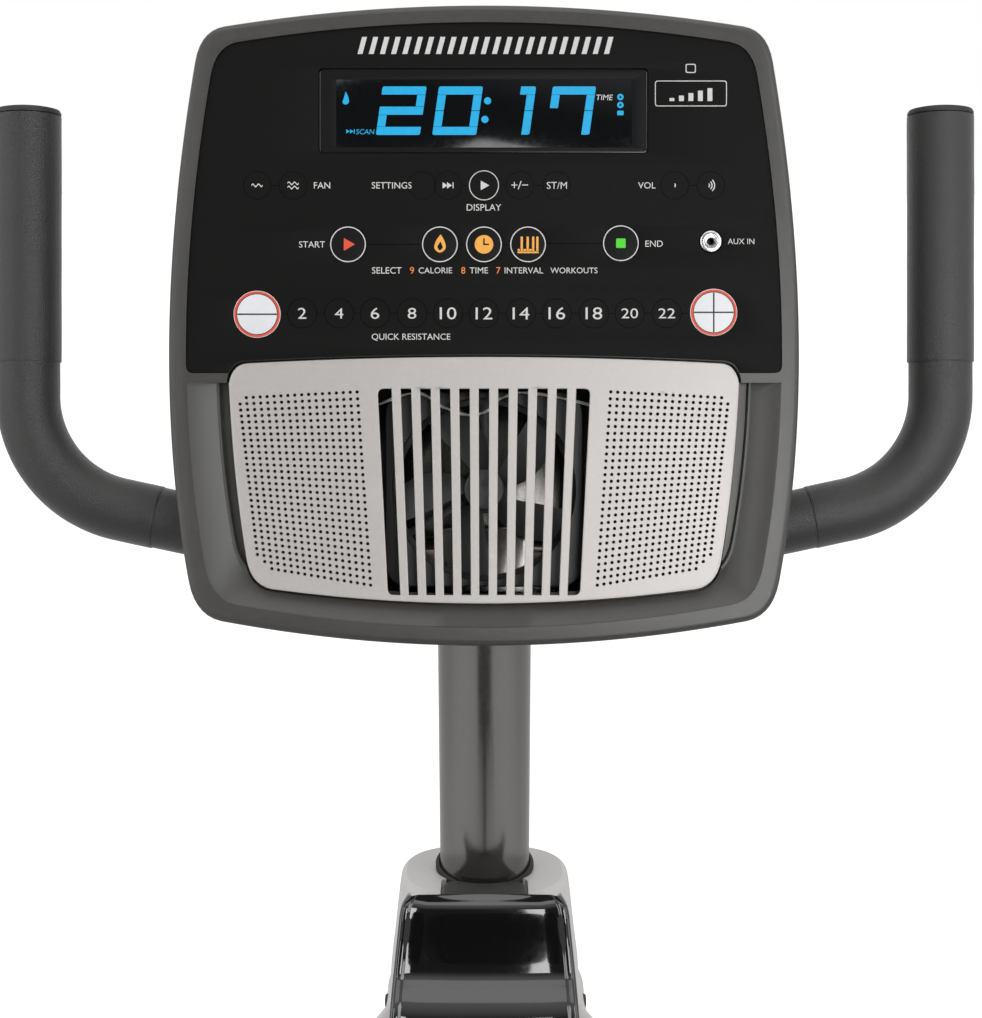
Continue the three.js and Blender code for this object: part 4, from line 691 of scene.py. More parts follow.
def upholstery(name, colour, thread):
    """Woven seat cloth with a light fleck and a soft sheen."""
    material = bpy.data.materials.new(name)
    material.use_nodes = True
    tree = material.node_tree
    shader = tree.nodes["Principled BSDF"]
    cloth = use(tree, weave, [("Scale", 330.0)])
    skin = use(tree, grain, [("Scale", 1200.0)])
    settled = use(tree, dust, [("Amount", 0.05)])
    flecked = blended(tree, span(tree, cloth.outputs["Thread"], 0.15, 0.5, 0.0, 1.0), colour, thread)
    faded = blended(tree, maths(tree, "MULTIPLY", skin.outputs["Tone"], 0.3), flecked, tinted(colour, 1.8))
    tree.links.new(blended(tree, settled.outputs["Mask"], faded, DUST_COLOUR), shader.inputs["Base Color"])
    tree.links.new(span(tree, cloth.outputs["Height"], 0.0, 1.0, 0.95, 0.78), shader.inputs["Roughness"])
    raised = add_node(tree, "ShaderNodeBump", values=[("Strength", 0.6), ("Distance", 0.0004)])
    tree.links.new(cloth.outputs["Height"], raised.inputs["Height"])
    tree.links.new(raised.outputs["Normal"], shader.inputs["Normal"])
    shader.inputs["Sheen Weight"].default_value = 0.35
    shader.inputs["Sheen Roughness"].default_value = 0.5
    return material


bezel_plastic = moulded("bezel_plastic", shade(62, 61, 59), 0.36, 0.35, 1500, dusty=0.05, depth=0.00012)
housing_plastic = moulded("housing_plastic", shade(74, 73, 71), 0.42, 0.35, 1500, depth=0.00012)
overlay_film = moulded(
    "overlay_film", shade(8, 8, 7), 0.6, 0.15, 2200, scuff=0.06, dusty=0.0, tone=0.12,
    plain=[("Specular IOR Level", 0.12)],
)
key_film = moulded(
    "key_film", shade(9, 9, 9), 0.52, 0.12, 2200, scuff=0.08, dusty=0.0,
    plain=[("Specular IOR Level", 0.14)],
)
key_white = moulded("key_white", shade(226, 228, 232), 0.4, 0.15, 2200, tone=0.03, scuff=0.1, dusty=0.02)
window_smoke = moulded(
    "window_smoke", shade(9, 11, 14), 0.12, 0.02, 900, scuff=0.1, dusty=0.0,
    plain=[("Specular IOR Level", 0.35)],
)
print_white = moulded("print_white", shade(206, 206, 204), 0.55, 0.05, 2200, tone=0.05, scuff=0.1, dusty=0.0)
print_grey = moulded(
    "print_grey", shade(3, 3, 3), 0.6, 0.05, 2200, tone=0.06, scuff=0.0, dusty=0.0,
    plain=[("Specular IOR Level", 0.05)],
)
print_orange = moulded(
    "print_orange", shade(236, 130, 48), 0.55, 0.05, 2200, tone=0.06, scuff=0.08, dusty=0.0,
)
print_amber = moulded("print_amber", shade(244, 172, 66), 0.55, 0.05, 2200, tone=0.06, scuff=0.08, dusty=0.0)
print_red = moulded("print_red", shade(226, 72, 40), 0.55, 0.05, 2200, tone=0.06, scuff=0.08, dusty=0.0)
print_green = moulded("print_green", shade(66, 214, 24), 0.55, 0.05, 2200, tone=0.06, scuff=0.08, dusty=0.0)
print_black = moulded("print_black", shade(16, 16, 17), 0.55, 0.05, 2200, tone=0.06, scuff=0.08, dusty=0.0)
display_cyan = lit("display_cyan", shade(0, 180, 238), 0.92)
grille_silver = moulded(
    "grille_silver", shade(180, 176, 173), 0.42, 0.3, 1700, metal=0.25, tone=0.04, scuff=0.25,
    dusty=0.03, depth=0.0001,
)
black_plastic = moulded("black_plastic", shade(30, 30, 30), 0.5, 0.4, 1300, depth=0.00012)
textured_black = moulded(
    "textured_black", shade(34, 34, 34), 0.62, 0.7, 900, depth=0.0002, relief=(cells, 1400.0),
)
gloss_black = moulded(
    "gloss_black", shade(8, 8, 9), 0.09, 0.03, 500, tone=0.2, scuff=0.25, dusty=0.05,
    plain=[("Coat Weight", 0.7), ("Coat Roughness", 0.04)],
)
silver_plastic = moulded(
    "silver_plastic", shade(202, 199, 198), 0.4, 0.2, 1500, metal=0.1, tone=0.03, scuff=0.2, dusty=0.06,
)
mast_paint = moulded(
    "mast_paint", shade(124, 122, 120), 0.2, 0.08, 1800, metal=0.9, tone=0.05, scuff=0.3, dusty=0.03,
)
frame_paint = moulded(
    "frame_paint", shade(58, 58, 60), 0.38, 0.35, 1500, metal=0.3, tone=0.08, dusty=0.14,
    plain=[("Coat Weight", 0.2)],
)
crank_paint = moulded("crank_paint", shade(46, 46, 48), 0.4, 0.25, 1500, metal=0.4, tone=0.08, scuff=0.5)
bright_steel = moulded(
    "bright_steel", shade(196, 196, 198), 0.24, 0.12, 1200, metal=1.0, tone=0.05, scuff=0.5, dusty=0.03,
)
rail_aluminium = moulded(
    "rail_aluminium", shade(190, 191, 194), 0.34, 0.25, 2600, metal=1.0, tone=0.05, scuff=0.6, dusty=0.06,
)
cast_iron = moulded("cast_iron", shade(104, 104, 106), 0.5, 0.7, 700, metal=0.8, depth=0.0003)
rubber_black = moulded(
    "rubber_black", shade(24, 24, 24), 0.72, 0.6, 900, scuff=0.5, dusty=0.16, depth=0.0002,
    relief=(cells, 900.0),
)
fan_plastic = moulded("fan_plastic", shade(62, 62, 62), 0.42, 0.25, 1300, depth=0.0001)
grip_foam = moulded(
    "grip_foam", shade(36, 36, 35), 0.38, 0.8, 1500, tone=0.12, scuff=0.2, dusty=0.05, depth=0.00022,
    relief=(cells, 1500.0), plain=[("Sheen Weight", 0.25), ("Sheen Roughness", 0.4)],
)
lead_white = moulded("lead_white", shade(214, 213, 208), 0.45, 0.1, 900, dusty=0.04)
solder_green = moulded("solder_green", shade(30, 84, 52), 0.35, 0.3, 800)
seat_cloth = upholstery("seat_cloth", shade(36, 36, 38), shade(66, 66, 69))
piping_cord = moulded("piping_cord", shade(40, 40, 42), 0.6, 0.5, 1500, dusty=0.05)
stitch_thread = moulded("stitch_thread", shade(112, 112, 114), 0.7, 0.4, 2000, dusty=0.02)
floor_pale = moulded(
    "floor_pale", shade(215, 215, 215), 0.8, 0.1, 40, tone=0.01, scuff=0.0, dusty=0.0,
    plain=[("Emission Color", (1, 1, 1, 1))],
)


def whitened(material, strength):
    """Lifts a finish towards white for the eye, without lighting what stands on it."""
    tree = material.node_tree
    path = tree.nodes.new("ShaderNodeLightPath")
    glow = maths(tree, "MULTIPLY", path.outputs["Is Camera Ray"], strength)
    tree.links.new(glow, tree.nodes["Principled BSDF"].inputs["Emission Strength"])


def set_floor():
    whitened(floor_pale, 0.62)
    bpy.ops.object.select_all(action="DESELECT")
    bpy.ops.mesh.primitive_plane_add(size=90, location=(0, 0, -0.0005))
    floor = bpy.context.object
    floor.name = "floor"
    floor.data.materials.append(floor_pale)


set_floor()

# ------------------------------------------------------------------ console outlines, in its own frame


def quads(start, spans, steps):
    """Joins quadratic arcs: each span is (control, end)."""
    loop = [start]
    here = Vector(start)
    for (control, end), count in zip(spans, steps):
        middle, last = Vector(control), Vector(end)
        for k in range(1, count + 1):
            t = k / count
            point = here * (1 - t) ** 2 + middle * (2 * t * (1 - t)) + last * t * t
            loop.append((point.x, point.y))
        here = last
    return loop[:-1]


SIDE_STEPS = (7, 30, 7, 26, 7, 30, 7, 26)


def console_outline(inset=0.0):
    w, h = CONSOLE_WIDE, CONSOLE_HIGH

    def at(from_side, from_end, side, end):
        x = (w - from_side) * (1 - inset / w) * side
        y = (h - from_end) * (1 - inset / h) * end
        return x, y

    spans = [
        (at(16.5, 13.2, -1, 1), at(13.7, 30, -1, 1)),
        (at(-12, h - 13.8, -1, -1), at(10.3, 34.3, -1, -1)),
        (at(13.6, 16.2, -1, -1), at(27.3, 13, -1, -1)),
        (at(w, -13, 1, -1), at(27.3, 13, 1, -1)),
        (at(13.6, 16.2, 1, -1), at(10.3, 34.3, 1, -1)),
        (at(-12, h - 13.8, 1, -1), at(13.7, 30, 1, 1)),
        (at(16.5, 13.2, 1, 1), at(29.3, 11, 1, 1)),
        (at(w, -11, 1, 1), at(29.3, 11, -1, 1)),
    ]
    return quads(at(29.3, 11, -1, 1), spans, SIDE_STEPS)


def grille_outline(inset=0.0):
    g = CONSOLE_WIDE - 31.6
    top, low = -16.3 - inset, 22 - CONSOLE_HIGH + inset

    def x(from_side):
        return g - from_side - inset

    spans = [
        ((-x(1.7), top - 4), (-x(0), top - 13.2)),
        ((-x(2.4), (top + low) / 2), (-x(9.4), low + 22.3)),
        ((-x(11.7), low + 10), (-x(21.7), low + 7.6)),
        ((0, low - 7.6), (x(21.7), low + 7.6)),
        ((x(11.7), low + 10), (x(9.4), low + 22.3)),
        ((x(2.4), (top + low) / 2), (x(0), top - 13.2)),
        ((x(1.7), top - 4), (x(8.9), top - 3.4)),
        ((0, top + 3.4), (-x(8.9), top - 3.4)),
    ]
    return quads((-x(8.9), top - 3.4), spans, SIDE_STEPS)


def cut_level(loop, level, corner):
    """Keeps the part of an outline above a level, with its two new corners rounded."""
    kept = []
    for i, (x, y) in enumerate(loop):
        px, py = loop[i - 1]
        if (y > level) != (py > level):
            t = (level - py) / (y - py)
            kept.append((px + (x - px) * t, level, corner))
        if y > level:
            kept.append((x, y, 0))
    result = []
    count = len(kept)
    for i, (x, y, wanted) in enumerate(kept):
        if not wanted:
            here = Vector((x, y))
            near = any(
                k[2] and (here - Vector(k[:2])).length < k[2]
                for k in (kept[i - 2], kept[i - 1], kept[(i + 1) % count], kept[(i + 2) % count])
            )
            if not near:
                result.append((x, y, 0))
        else:
            result.append((x, y, wanted))
    return rounded_far(result)


def rounded_far(points, steps=6):
    """Rounds the marked corners without regard to how near the plain points lie."""
    loop = []
    for i, (x, y, wanted) in enumerate(points):
        here = Vector((x, y))
        if not wanted:
            loop.append((x, y))
            continue
        before = Vector(points[i - 1][:2])
        after = Vector(points[(i + 1) % len(points)][:2])
        into = here + (before - here).normalized() * wanted
        out = here + (after - here).normalized() * wanted
        for k in range(steps + 1):
            t = k / steps
            point = into * (1 - t) ** 2 + here * (2 * t * (1 - t)) + out * t * t
            loop.append((point.x, point.y))
    return loop


OVERLAY_LOW = -25.3
TROUGH_TOP = -30.3
DISPLAY_LOOP = rounded_box(173.6, 44.8, 2.5, -0.3, 113)
KEY_PLACES = {
    "key_minus": (-119.5, 5.8, 12.4),
    "key_plus": (121.0, 6.8, 12.4),
    "key_start": (-71.6, 42.6, 9.6),
    "key_end": (72.1, 43.2, 9.6),
    "key_calorie": (-23.2, 42.6, 9.6),
    "key_time": (0.0, 42.6, 9.6),
    "key_interval": (23.2, 42.6, 9.6),
}
JACK = (119.5, 44.2)


def halved(obj, level, keep_above):
    """Cuts a body at a level of its own y axis and closes the cut."""
    alone(obj)
    bpy.ops.object.mode_set(mode="EDIT")
    bpy.ops.mesh.select_all(action="SELECT")
    bpy.ops.mesh.bisect(
        plane_co=(0, level, 0), plane_no=(0, 1, 0), use_fill=True, clear_inner=keep_above,
        clear_outer=not keep_above,
    )
    bpy.ops.mesh.select_all(action="SELECT")
    bpy.ops.mesh.normals_make_consistent(inside=False)
    bpy.ops.object.mode_set(mode="OBJECT")
    return obj


def at_height(loop, z):
    return [(x, y, z) for x, y in loop]


def make_bezel():
    body = slab(console_outline(), -28, 0, top_round=3.4, low_round=0.6, segments=5)
    trough = [
        (9.6, 3.0), (9.6, -0.2), (10.2, -0.9), (24.6, -5.4),
        (25.4, -5.0), (26.0, -5.0), (26.5, -5.6), (26.9, -8.6),
    ]
    dish = halved(lofted([at_height(console_outline(inset), z) for inset, z in trough]), TROUGH_TOP, False)
    pocket = slab(cut_level(console_outline(9.4), OVERLAY_LOW, 4.0), -2.2, 6)
    seat = slab(grille_outline(-0.7), -10.5, 6)
    window = slab(grille_outline(5), -40, 6)
    hollow = slab(console_outline(3.2), -40, -12.6)
    upper = halved(slab(console_outline(12), -39, -4.6), -17, True)
    jack = slab(ring_of(6.3, *JACK), -39, 6)
    display = slab(rounded_box(174.6, 45.6, 1, -0.3, 113), -39, 6)
    carve(body, [dish, pocket, seat, window, hollow, upper, jack, display])
    seat_in(body, CONSOLE)
    return finish_piece(body, "bezel", bezel_plastic, "frame", ["console_bezel"], 32)


def make_housing():
    rings = [at_height(console_outline(-0.5), -28.3)]
    rings.append(at_height(console_outline(-0.5), -31.0))
    depth = 78 - 28
    for k in range(1, 17):
        share = k / 16
        scale = 1 - 0.2 * share ** 3
        z = -28.6 - depth * math.sin(share * 90 * DEG) * 0.98
        loop = console_outline(0.2 if k < 3 else 0.8)
        rings.append([(x * scale, y * scale, z if k > 1 else min(z, -31.4)) for x, y in loop])
    shell = lofted(rings)
    inner = lofted([[(x * 0.965, y * 0.965, z * 0.94 + 1.8) for x, y, z in ring] for ring in rings])
    cutters = [inner]
    for side in (-1, 1):
        route = [CONSOLE.inverted() @ p for p in grip_route(side, start=118)]
        cutters.append(tube(route, GRIP_RADIUS + 1.6, 40))
    low_mast = [CONSOLE.inverted() @ (MM @ Vector((0, mast_y(z), z))) for z in (800, 960)]
    cutters.append(tube(low_mast, MAST_RADIUS + 2, 48))
    carve(shell, cutters)
    seat_in(shell, CONSOLE)
    housing = finish_piece(
        shell, "housing", housing_plastic, "frame", ["console_back"], 32,
    )
    bosses = []
    for x, y in ((-95, 92), (95, 92), (-100, -92), (100, -92), (0, 118)):
        depth_here = -76.4 if abs(y) < 93 and abs(x) < 99 else -75.2
        screw = turned(
            [(0, 0.6), (2.2, 0.6), (2.4, 0.2), (4.2, 0.0), (4.6, -0.8), (4.6, -2.4), (0, -2.4)], 24,
        )
        seat_in(
            screw,
            Matrix.Translation((x * 0.9, y * 0.9, depth_here)) @ Matrix.Rotation(180 * DEG, 4, "X"),
        )
        bosses.append(screw)
    screws = join("housing_screws", bosses)
    seat_in(screws, CONSOLE)
    finish_piece(screws, "housing_screws", bright_steel, "frame")
    return housing


def grip_route(side, start=150.0, end=GRIP_TOP):
    """The handlebar's line from beside the console up to its end, in metres."""
    corner_y = -34 - BAR_BEND * math.tan((90 * DEG - BAR_SLOPE) / 2)
    start_y = corner_y - (GRIP_REACH - start) * math.tan(BAR_SLOPE)
    route = bent([
        (start, start_y, -BAR_BEHIND),
        (GRIP_REACH, corner_y, -BAR_BEHIND, BAR_BEND),
        (GRIP_REACH, end, -BAR_BEHIND),
    ], 3 * DEG)
    return [CONSOLE @ Vector((p.x * side, p.y, p.z)) for p in route]


def make_overlay():
    rim = cut_level(console_outline(9.7), OVERLAY_LOW + 0.3, 3.8)
    # the arched top of the grille takes a bite out of the overlay's lower edge
    bite = sorted((x, y) for x, y in grille_outline(-1.1) if y > OVERLAY_LOW + 0.3)
    rim = [(x, y) for x, y in rim if abs(y - OVERLAY_LOW - 0.3) >= 0.01 or abs(x) >= 150.5]
    turn = max(
        range(len(rim)),
        key=lambda i: abs(rim[i][0] - rim[i - 1][0]) if rim[i][1] < -15 and rim[i - 1][1] < -15 else 0,
    )
    rising = rim[turn][0] > rim[turn - 1][0]
    edge = [(bite[0][0] - 0.3, OVERLAY_LOW + 0.3)] + bite + [(bite[-1][0] + 0.3, OVERLAY_LOW + 0.3)]
    rim = rim[:turn] + (edge if rising else edge[::-1]) + rim[turn:]
    holes = [DISPLAY_LOOP[::-1], ring_of(6.2, *JACK)[::-1]]
    holes += [ring_of(r + 0.25, x, y)[::-1] for x, y, r in KEY_PLACES.values()]
    film = flat_sheet([rim] + holes, OVERLAY_FRONT - 0.6, 1.2, 0.12)
    seat_in(film, CONSOLE)
    return finish_piece(film, "overlay", overlay_film, "frame", ["control_overlay"], 40)


def make_display():
    glass = slab(rounded_box(173, 44, 2.2, -0.3, 113), -3.6, -1.6, top_round=0.3, segments=2)
    seat_in(glass, CONSOLE)
    finish_piece(glass, "display_window", window_smoke, "frame", ["display_lens"])
    frame_loop = [rounded_box(171.8, 43.0, 1.8, -0.3, 113), rounded_box(155.8, 35.8, 1.2, 0, 111.7)[::-1]]
    surround = flat_sheet(frame_loop, -1.5, 0.12, 0.05)
    seat_in(surround, CONSOLE)
    finish_piece(surround, "display_surround", key_film, "frame")
    bars = []
    lean = math.tan(8 * DEG)
    thick, hair, middle = 4.3, 0.16, 113.2

    def stroke(cx, corners):
        loop = rounded([(x, y, 1.1 if abs(x) > 11 and abs(y) > 12 else 0.25) for x, y in corners], 4)
        bars.append(flat_sheet([[(cx + x + y * lean, middle + y) for x, y in loop]], -1.52))

    def block(cx, x0, x1, y0, y1):
        stroke(cx, [(x0, y0), (x1, y0), (x1, y1), (x0, y1)])

    def figure(cx, wide, lying, standing):
        """A figure of lying and standing strokes, with hairline gaps between them."""
        side, top = wide / 2, 12.8
        for height in lying:
            block(
                cx, -side, side, height * (top - thick / 2) - thick / 2,
                height * (top - thick / 2) + thick / 2,
            )
        for edge, low, high in standing:
            x0, x1 = (side - thick, side) if edge > 0 else (-side, thick - side)
            block(cx, x0, x1, low + hair, high - hair)

    inner, core = 12.8 - thick, thick / 2
    figure(-43.6, 23.2, (-1, 0, 1), ((1, core, inner), (-1, -inner, -core)))
    figure(-13.9, 23.2, (-1, 1), ((1, 0, inner), (1, -inner, 0), (-1, 0, inner), (-1, -inner, 0)))
    figure(14.4, 22.6, (), ((1, 0, inner), (1, -12.8, 0)))
    block(14.4, 3.4, 11.3, inner, 12.8)
    figure(45.9, 22.8, (1,), ((1, 0, inner), (1, -12.8, 0), (-1, 1.2, inner)))
    for x, y in ((1.9, 5.2), (0.5, -4.6)):
        bars.append(flat_sheet([ring_of(1.9, x, middle + y, 24)], -1.52))
    bars.append(lettering("SCAN", -62.6, 102.1, 9.8, -1.52, 0.14))
    for shift in (-72.6, -70.6):
        bars.append(flat_sheet([[(shift, 101.2), (shift + 1.8, 102.3), (shift, 103.4)]], -1.52))
    bars.append(flat_sheet([rounded_box(0.5, 2.2, 0.1, -68.4, 102.3)], -1.52))
    for y in (120.4, 116.2):
        bars.append(flat_sheet([ring_of(1.7, 71.9, y, 24), ring_of(0.6, 71.9, y, 12)[::-1]], -1.52))
    bars.append(flat_sheet([rounded_box(3.4, 2.4, 0.5, 71.9, 112.0)], -1.52))
    flame = [
        (-74.8, 117.2, 1.2), (-72.9, 116.2, 1.2), (-71.0, 117.4, 1.2), (-71.4, 120.2, 1.0),
        (-72.9, 123.4, 0.3), (-73.6, 120.8, 0.6),
    ]
    bars.append(flat_sheet([rounded(flame, 4)], -1.52))
    glow = join("display_figures", bars)
    outward_flat(glow)
    seat_in(glow, CONSOLE)
    finish_piece(glow, "display_figures", display_cyan, "frame")
    word = lettering("TIME", 63.6, 120.2, 8.8, -1.52, 0.14)
    outward_flat(word)
    seat_in(word, CONSOLE)
    finish_piece(word, "display_word", print_white, "frame")


def outward_flat(obj):
    """Turns every face of a flat print to look along +z."""
    mesh = bmesh.new()
    mesh.from_mesh(obj.data)
    mesh.normal_update()
    for face in mesh.faces:
        if face.normal.z < 0:
            face.normal_flip()
    mesh.to_mesh(obj.data)
    mesh.free()


PRINT_Z = OVERLAY_FRONT + 0.05


def band(points, thick, z=PRINT_Z):
    """A thin printed line along points."""
    a, b = Vector(points[0]), Vector(points[1])
    side = (b - a).normalized().orthogonal() * (thick / 2)
    return flat_sheet([[tuple(a + side), tuple(b + side), tuple(b - side), tuple(a - side)]], z)


def hoop(x, y, radius, thick, z=PRINT_Z, count=40):
    return flat_sheet([ring_of(radius, x, y, count), ring_of(radius - thick, x, y, count)[::-1]], z)


def blob(points, z=PRINT_Z):
    return flat_sheet([rounded(points, 4)], z)


def printed(name, parts, material, body="frame"):
    sheet = join(name, parts)
    outward_flat(sheet)
    seat_in(sheet, CONSOLE)
    return finish_piece(sheet, name, material, body)


def fan_sign(x, y, waves):
    parts = []
    for k in range(waves):
        base = y + (k - (waves - 1) / 2) * 2.2
        line = [(x - 3 + 0.5 * i, base + 0.7 * math.sin(i * math.pi / 3)) for i in range(13)]
        upper = [(px, py + 0.35) for px, py in line]
        lower = [(px, py - 0.35) for px, py in line[::-1]]
        parts.append(flat_sheet([upper + lower], PRINT_Z))
    return parts


NUMBER_PLACES = [-95.8, -76.3, -57.4, -37.9, -18.9, 0.0, 19.5, 38.4, 57.9, 76.8, 96.3]


UPPER_ROW, WORD_ROW, NUMBER_ROW = 73.7, 28.9, 6.3


def print_overlay():
    white, grey, orange = [], [], []
    labels = [
        ("FAN", -85.3, UPPER_ROW, 8.6), ("SETTINGS", -48.6, UPPER_ROW, 21), ("DISPLAY", 0.0, 62.1, 18.2),
        ("VOL", 85.8, UPPER_ROW, 9.2), ("ST/M", 38.4, UPPER_ROW, 10.6), ("START", -90.6, 42.6, 13.7),
        ("END", 89.6, 43.0, 9.2), ("AUX IN", 135.4, 44.2, 14.0), ("SELECT", -51.2, WORD_ROW, 15.6),
        ("CALORIE", -25.6, WORD_ROW, 17.6), ("TIME", -2.7, WORD_ROW, 9.7), ("INTERVAL", 21.0, WORD_ROW, 20.3),
        ("WORKOUTS", 47.4, WORD_ROW, 24.8), ("QUICK RESISTANCE", -38.4, -6.3, 41.4),
    ]
    for words, x, y, size in labels:
        white.append(lettering(words, x, y, size, PRINT_Z))
    for k, x in enumerate(NUMBER_PLACES):
        number = lettering(str(2 * (k + 1)), 0, 0, 4.5 if k < 4 else 8.8, PRINT_Z)
        white.append(
            seat_in(number, Matrix.Translation((x, NUMBER_ROW, 0)) @ Matrix.Diagonal((1, 0.8, 1, 1)))
        )
        grey.append(hoop(x, NUMBER_ROW, 7.9, 0.35))
    for x0, x1 in zip(
        [-106.6] + [x + 7.9 for x in NUMBER_PLACES], [x - 7.9 for x in NUMBER_PLACES] + [108.0],
    ):
        if x1 - x0 > 0.4:
            grey.append(band([(x0, NUMBER_ROW), (x1, NUMBER_ROW)], 0.35))
    for word, x in (("9", -37.9), ("8", -10.9), ("7", 7.6)):
        orange.append(lettering(word, x, WORD_ROW, 2.2, PRINT_Z))
    # small signs of the upper row
    for x in (-119.5, -100.5, -32.6, -18.9, 18.9, 38.4, 100.5, 119.5):
        grey.append(hoop(x, UPPER_ROW, 7.4, 0.3))
    white += fan_sign(-119.5, UPPER_ROW, 1) + fan_sign(-100.5, UPPER_ROW, 2)
    white.append(hoop(0, UPPER_ROW, 7.9, 0.45))
    white.append(blob([(-1.7, 71.2, 0.3), (2.9, UPPER_ROW, 0.3), (-1.7, 76.2, 0.3)]))
    white.append(band([(14.4, 73.9), (17.6, 73.9)], 0.5))
    white.append(band([(16.0, 72.3), (16.0, 73.64)], 0.5))
    white.append(band([(16.0, 74.16), (16.0, 75.5)], 0.5))
    white.append(band([(18.0, 71.6), (19.6, 76.0)], 0.5))
    white.append(band([(20.0, 73.9), (23.2, 73.9)], 0.5))
    for x, count in ((99.6, 1), (117.6, 3)):
        for k in range(count):
            reach = 1.5 + 1.35 * k
            arc = [
                (x + reach * math.cos(a * DEG), UPPER_ROW + reach * math.sin(a * DEG))
                for a in range(-48, 49, 12)
            ]
            inner = [
                (x + (reach - 0.6) * math.cos(a * DEG), UPPER_ROW + (reach - 0.6) * math.sin(a * DEG))
                for a in range(48, -49, -12)
            ]
            white.append(flat_sheet([arc + inner], PRINT_Z))
    for shift in (-1.7, 0.6):
        white.append(
            blob(
                [
                    (-18.9 + shift - 1.2, 72.0, 0.2), (-18.9 + shift + 1.4, UPPER_ROW, 0.2),
                    (-18.9 + shift - 1.2, 75.4, 0.2),
                ]
            )
        )
    white.append(band([(-16.3, 72.1), (-16.3, 75.3)], 0.5))
    # thin lines that tie the round keys together
    for x0, x1, y in ((-61.8, -33.0, 42.6), (-13.4, -9.8, 42.6), (9.8, 13.4, 42.6), (33.0, 62.3, 43.0)):
        grey.append(band([(x0, y), (x1, y)], 0.4))
    for x0, x1 in ((-112.0, -108.2), (-11.3, -8.1), (8.1, 11.3), (26.4, 30.9), (108.2, 112.0)):
        grey.append(band([(x0, UPPER_ROW), (x1, UPPER_ROW)], 0.3))
    grey.append(band([(0, 65.7), (0, 63.9)], 0.3))
    # plain striped band over the display, and the little frame beside it
    for k in range(23):
        x = -64.9 + k * 5.9
        white.append(
            flat_sheet(
                [[(x - 1.7, 142.9), (x + 0.9, 142.9), (x + 3.3, 151.9), (x + 0.7, 151.9)]], PRINT_Z,
            )
        )
    frame_out = rounded_box(37.9, 13.6, 1.6, 109.0, 122.1)
    white.append(flat_sheet([frame_out, rounded_box(37.0, 12.7, 1.3, 109.0, 122.1)[::-1]], PRINT_Z))
    for k in range(5):
        white.append(
            flat_sheet([rounded_box(2.6, 1.6 + 1.3 * k, 0.3, 99.0 + 5 * k, 118.9 + 0.65 * k)], PRINT_Z)
        )
    white.append(
        flat_sheet(
            [rounded_box(5.4, 4.8, 1, 108.9, 135.3), rounded_box(4.4, 3.8, 0.7, 108.9, 135.3)[::-1]],
            PRINT_Z,
        )
    )
    printed("overlay_print_white", white, print_white)
    printed("overlay_print_grey", grey, print_grey)
    printed("overlay_print_orange", orange, print_orange)


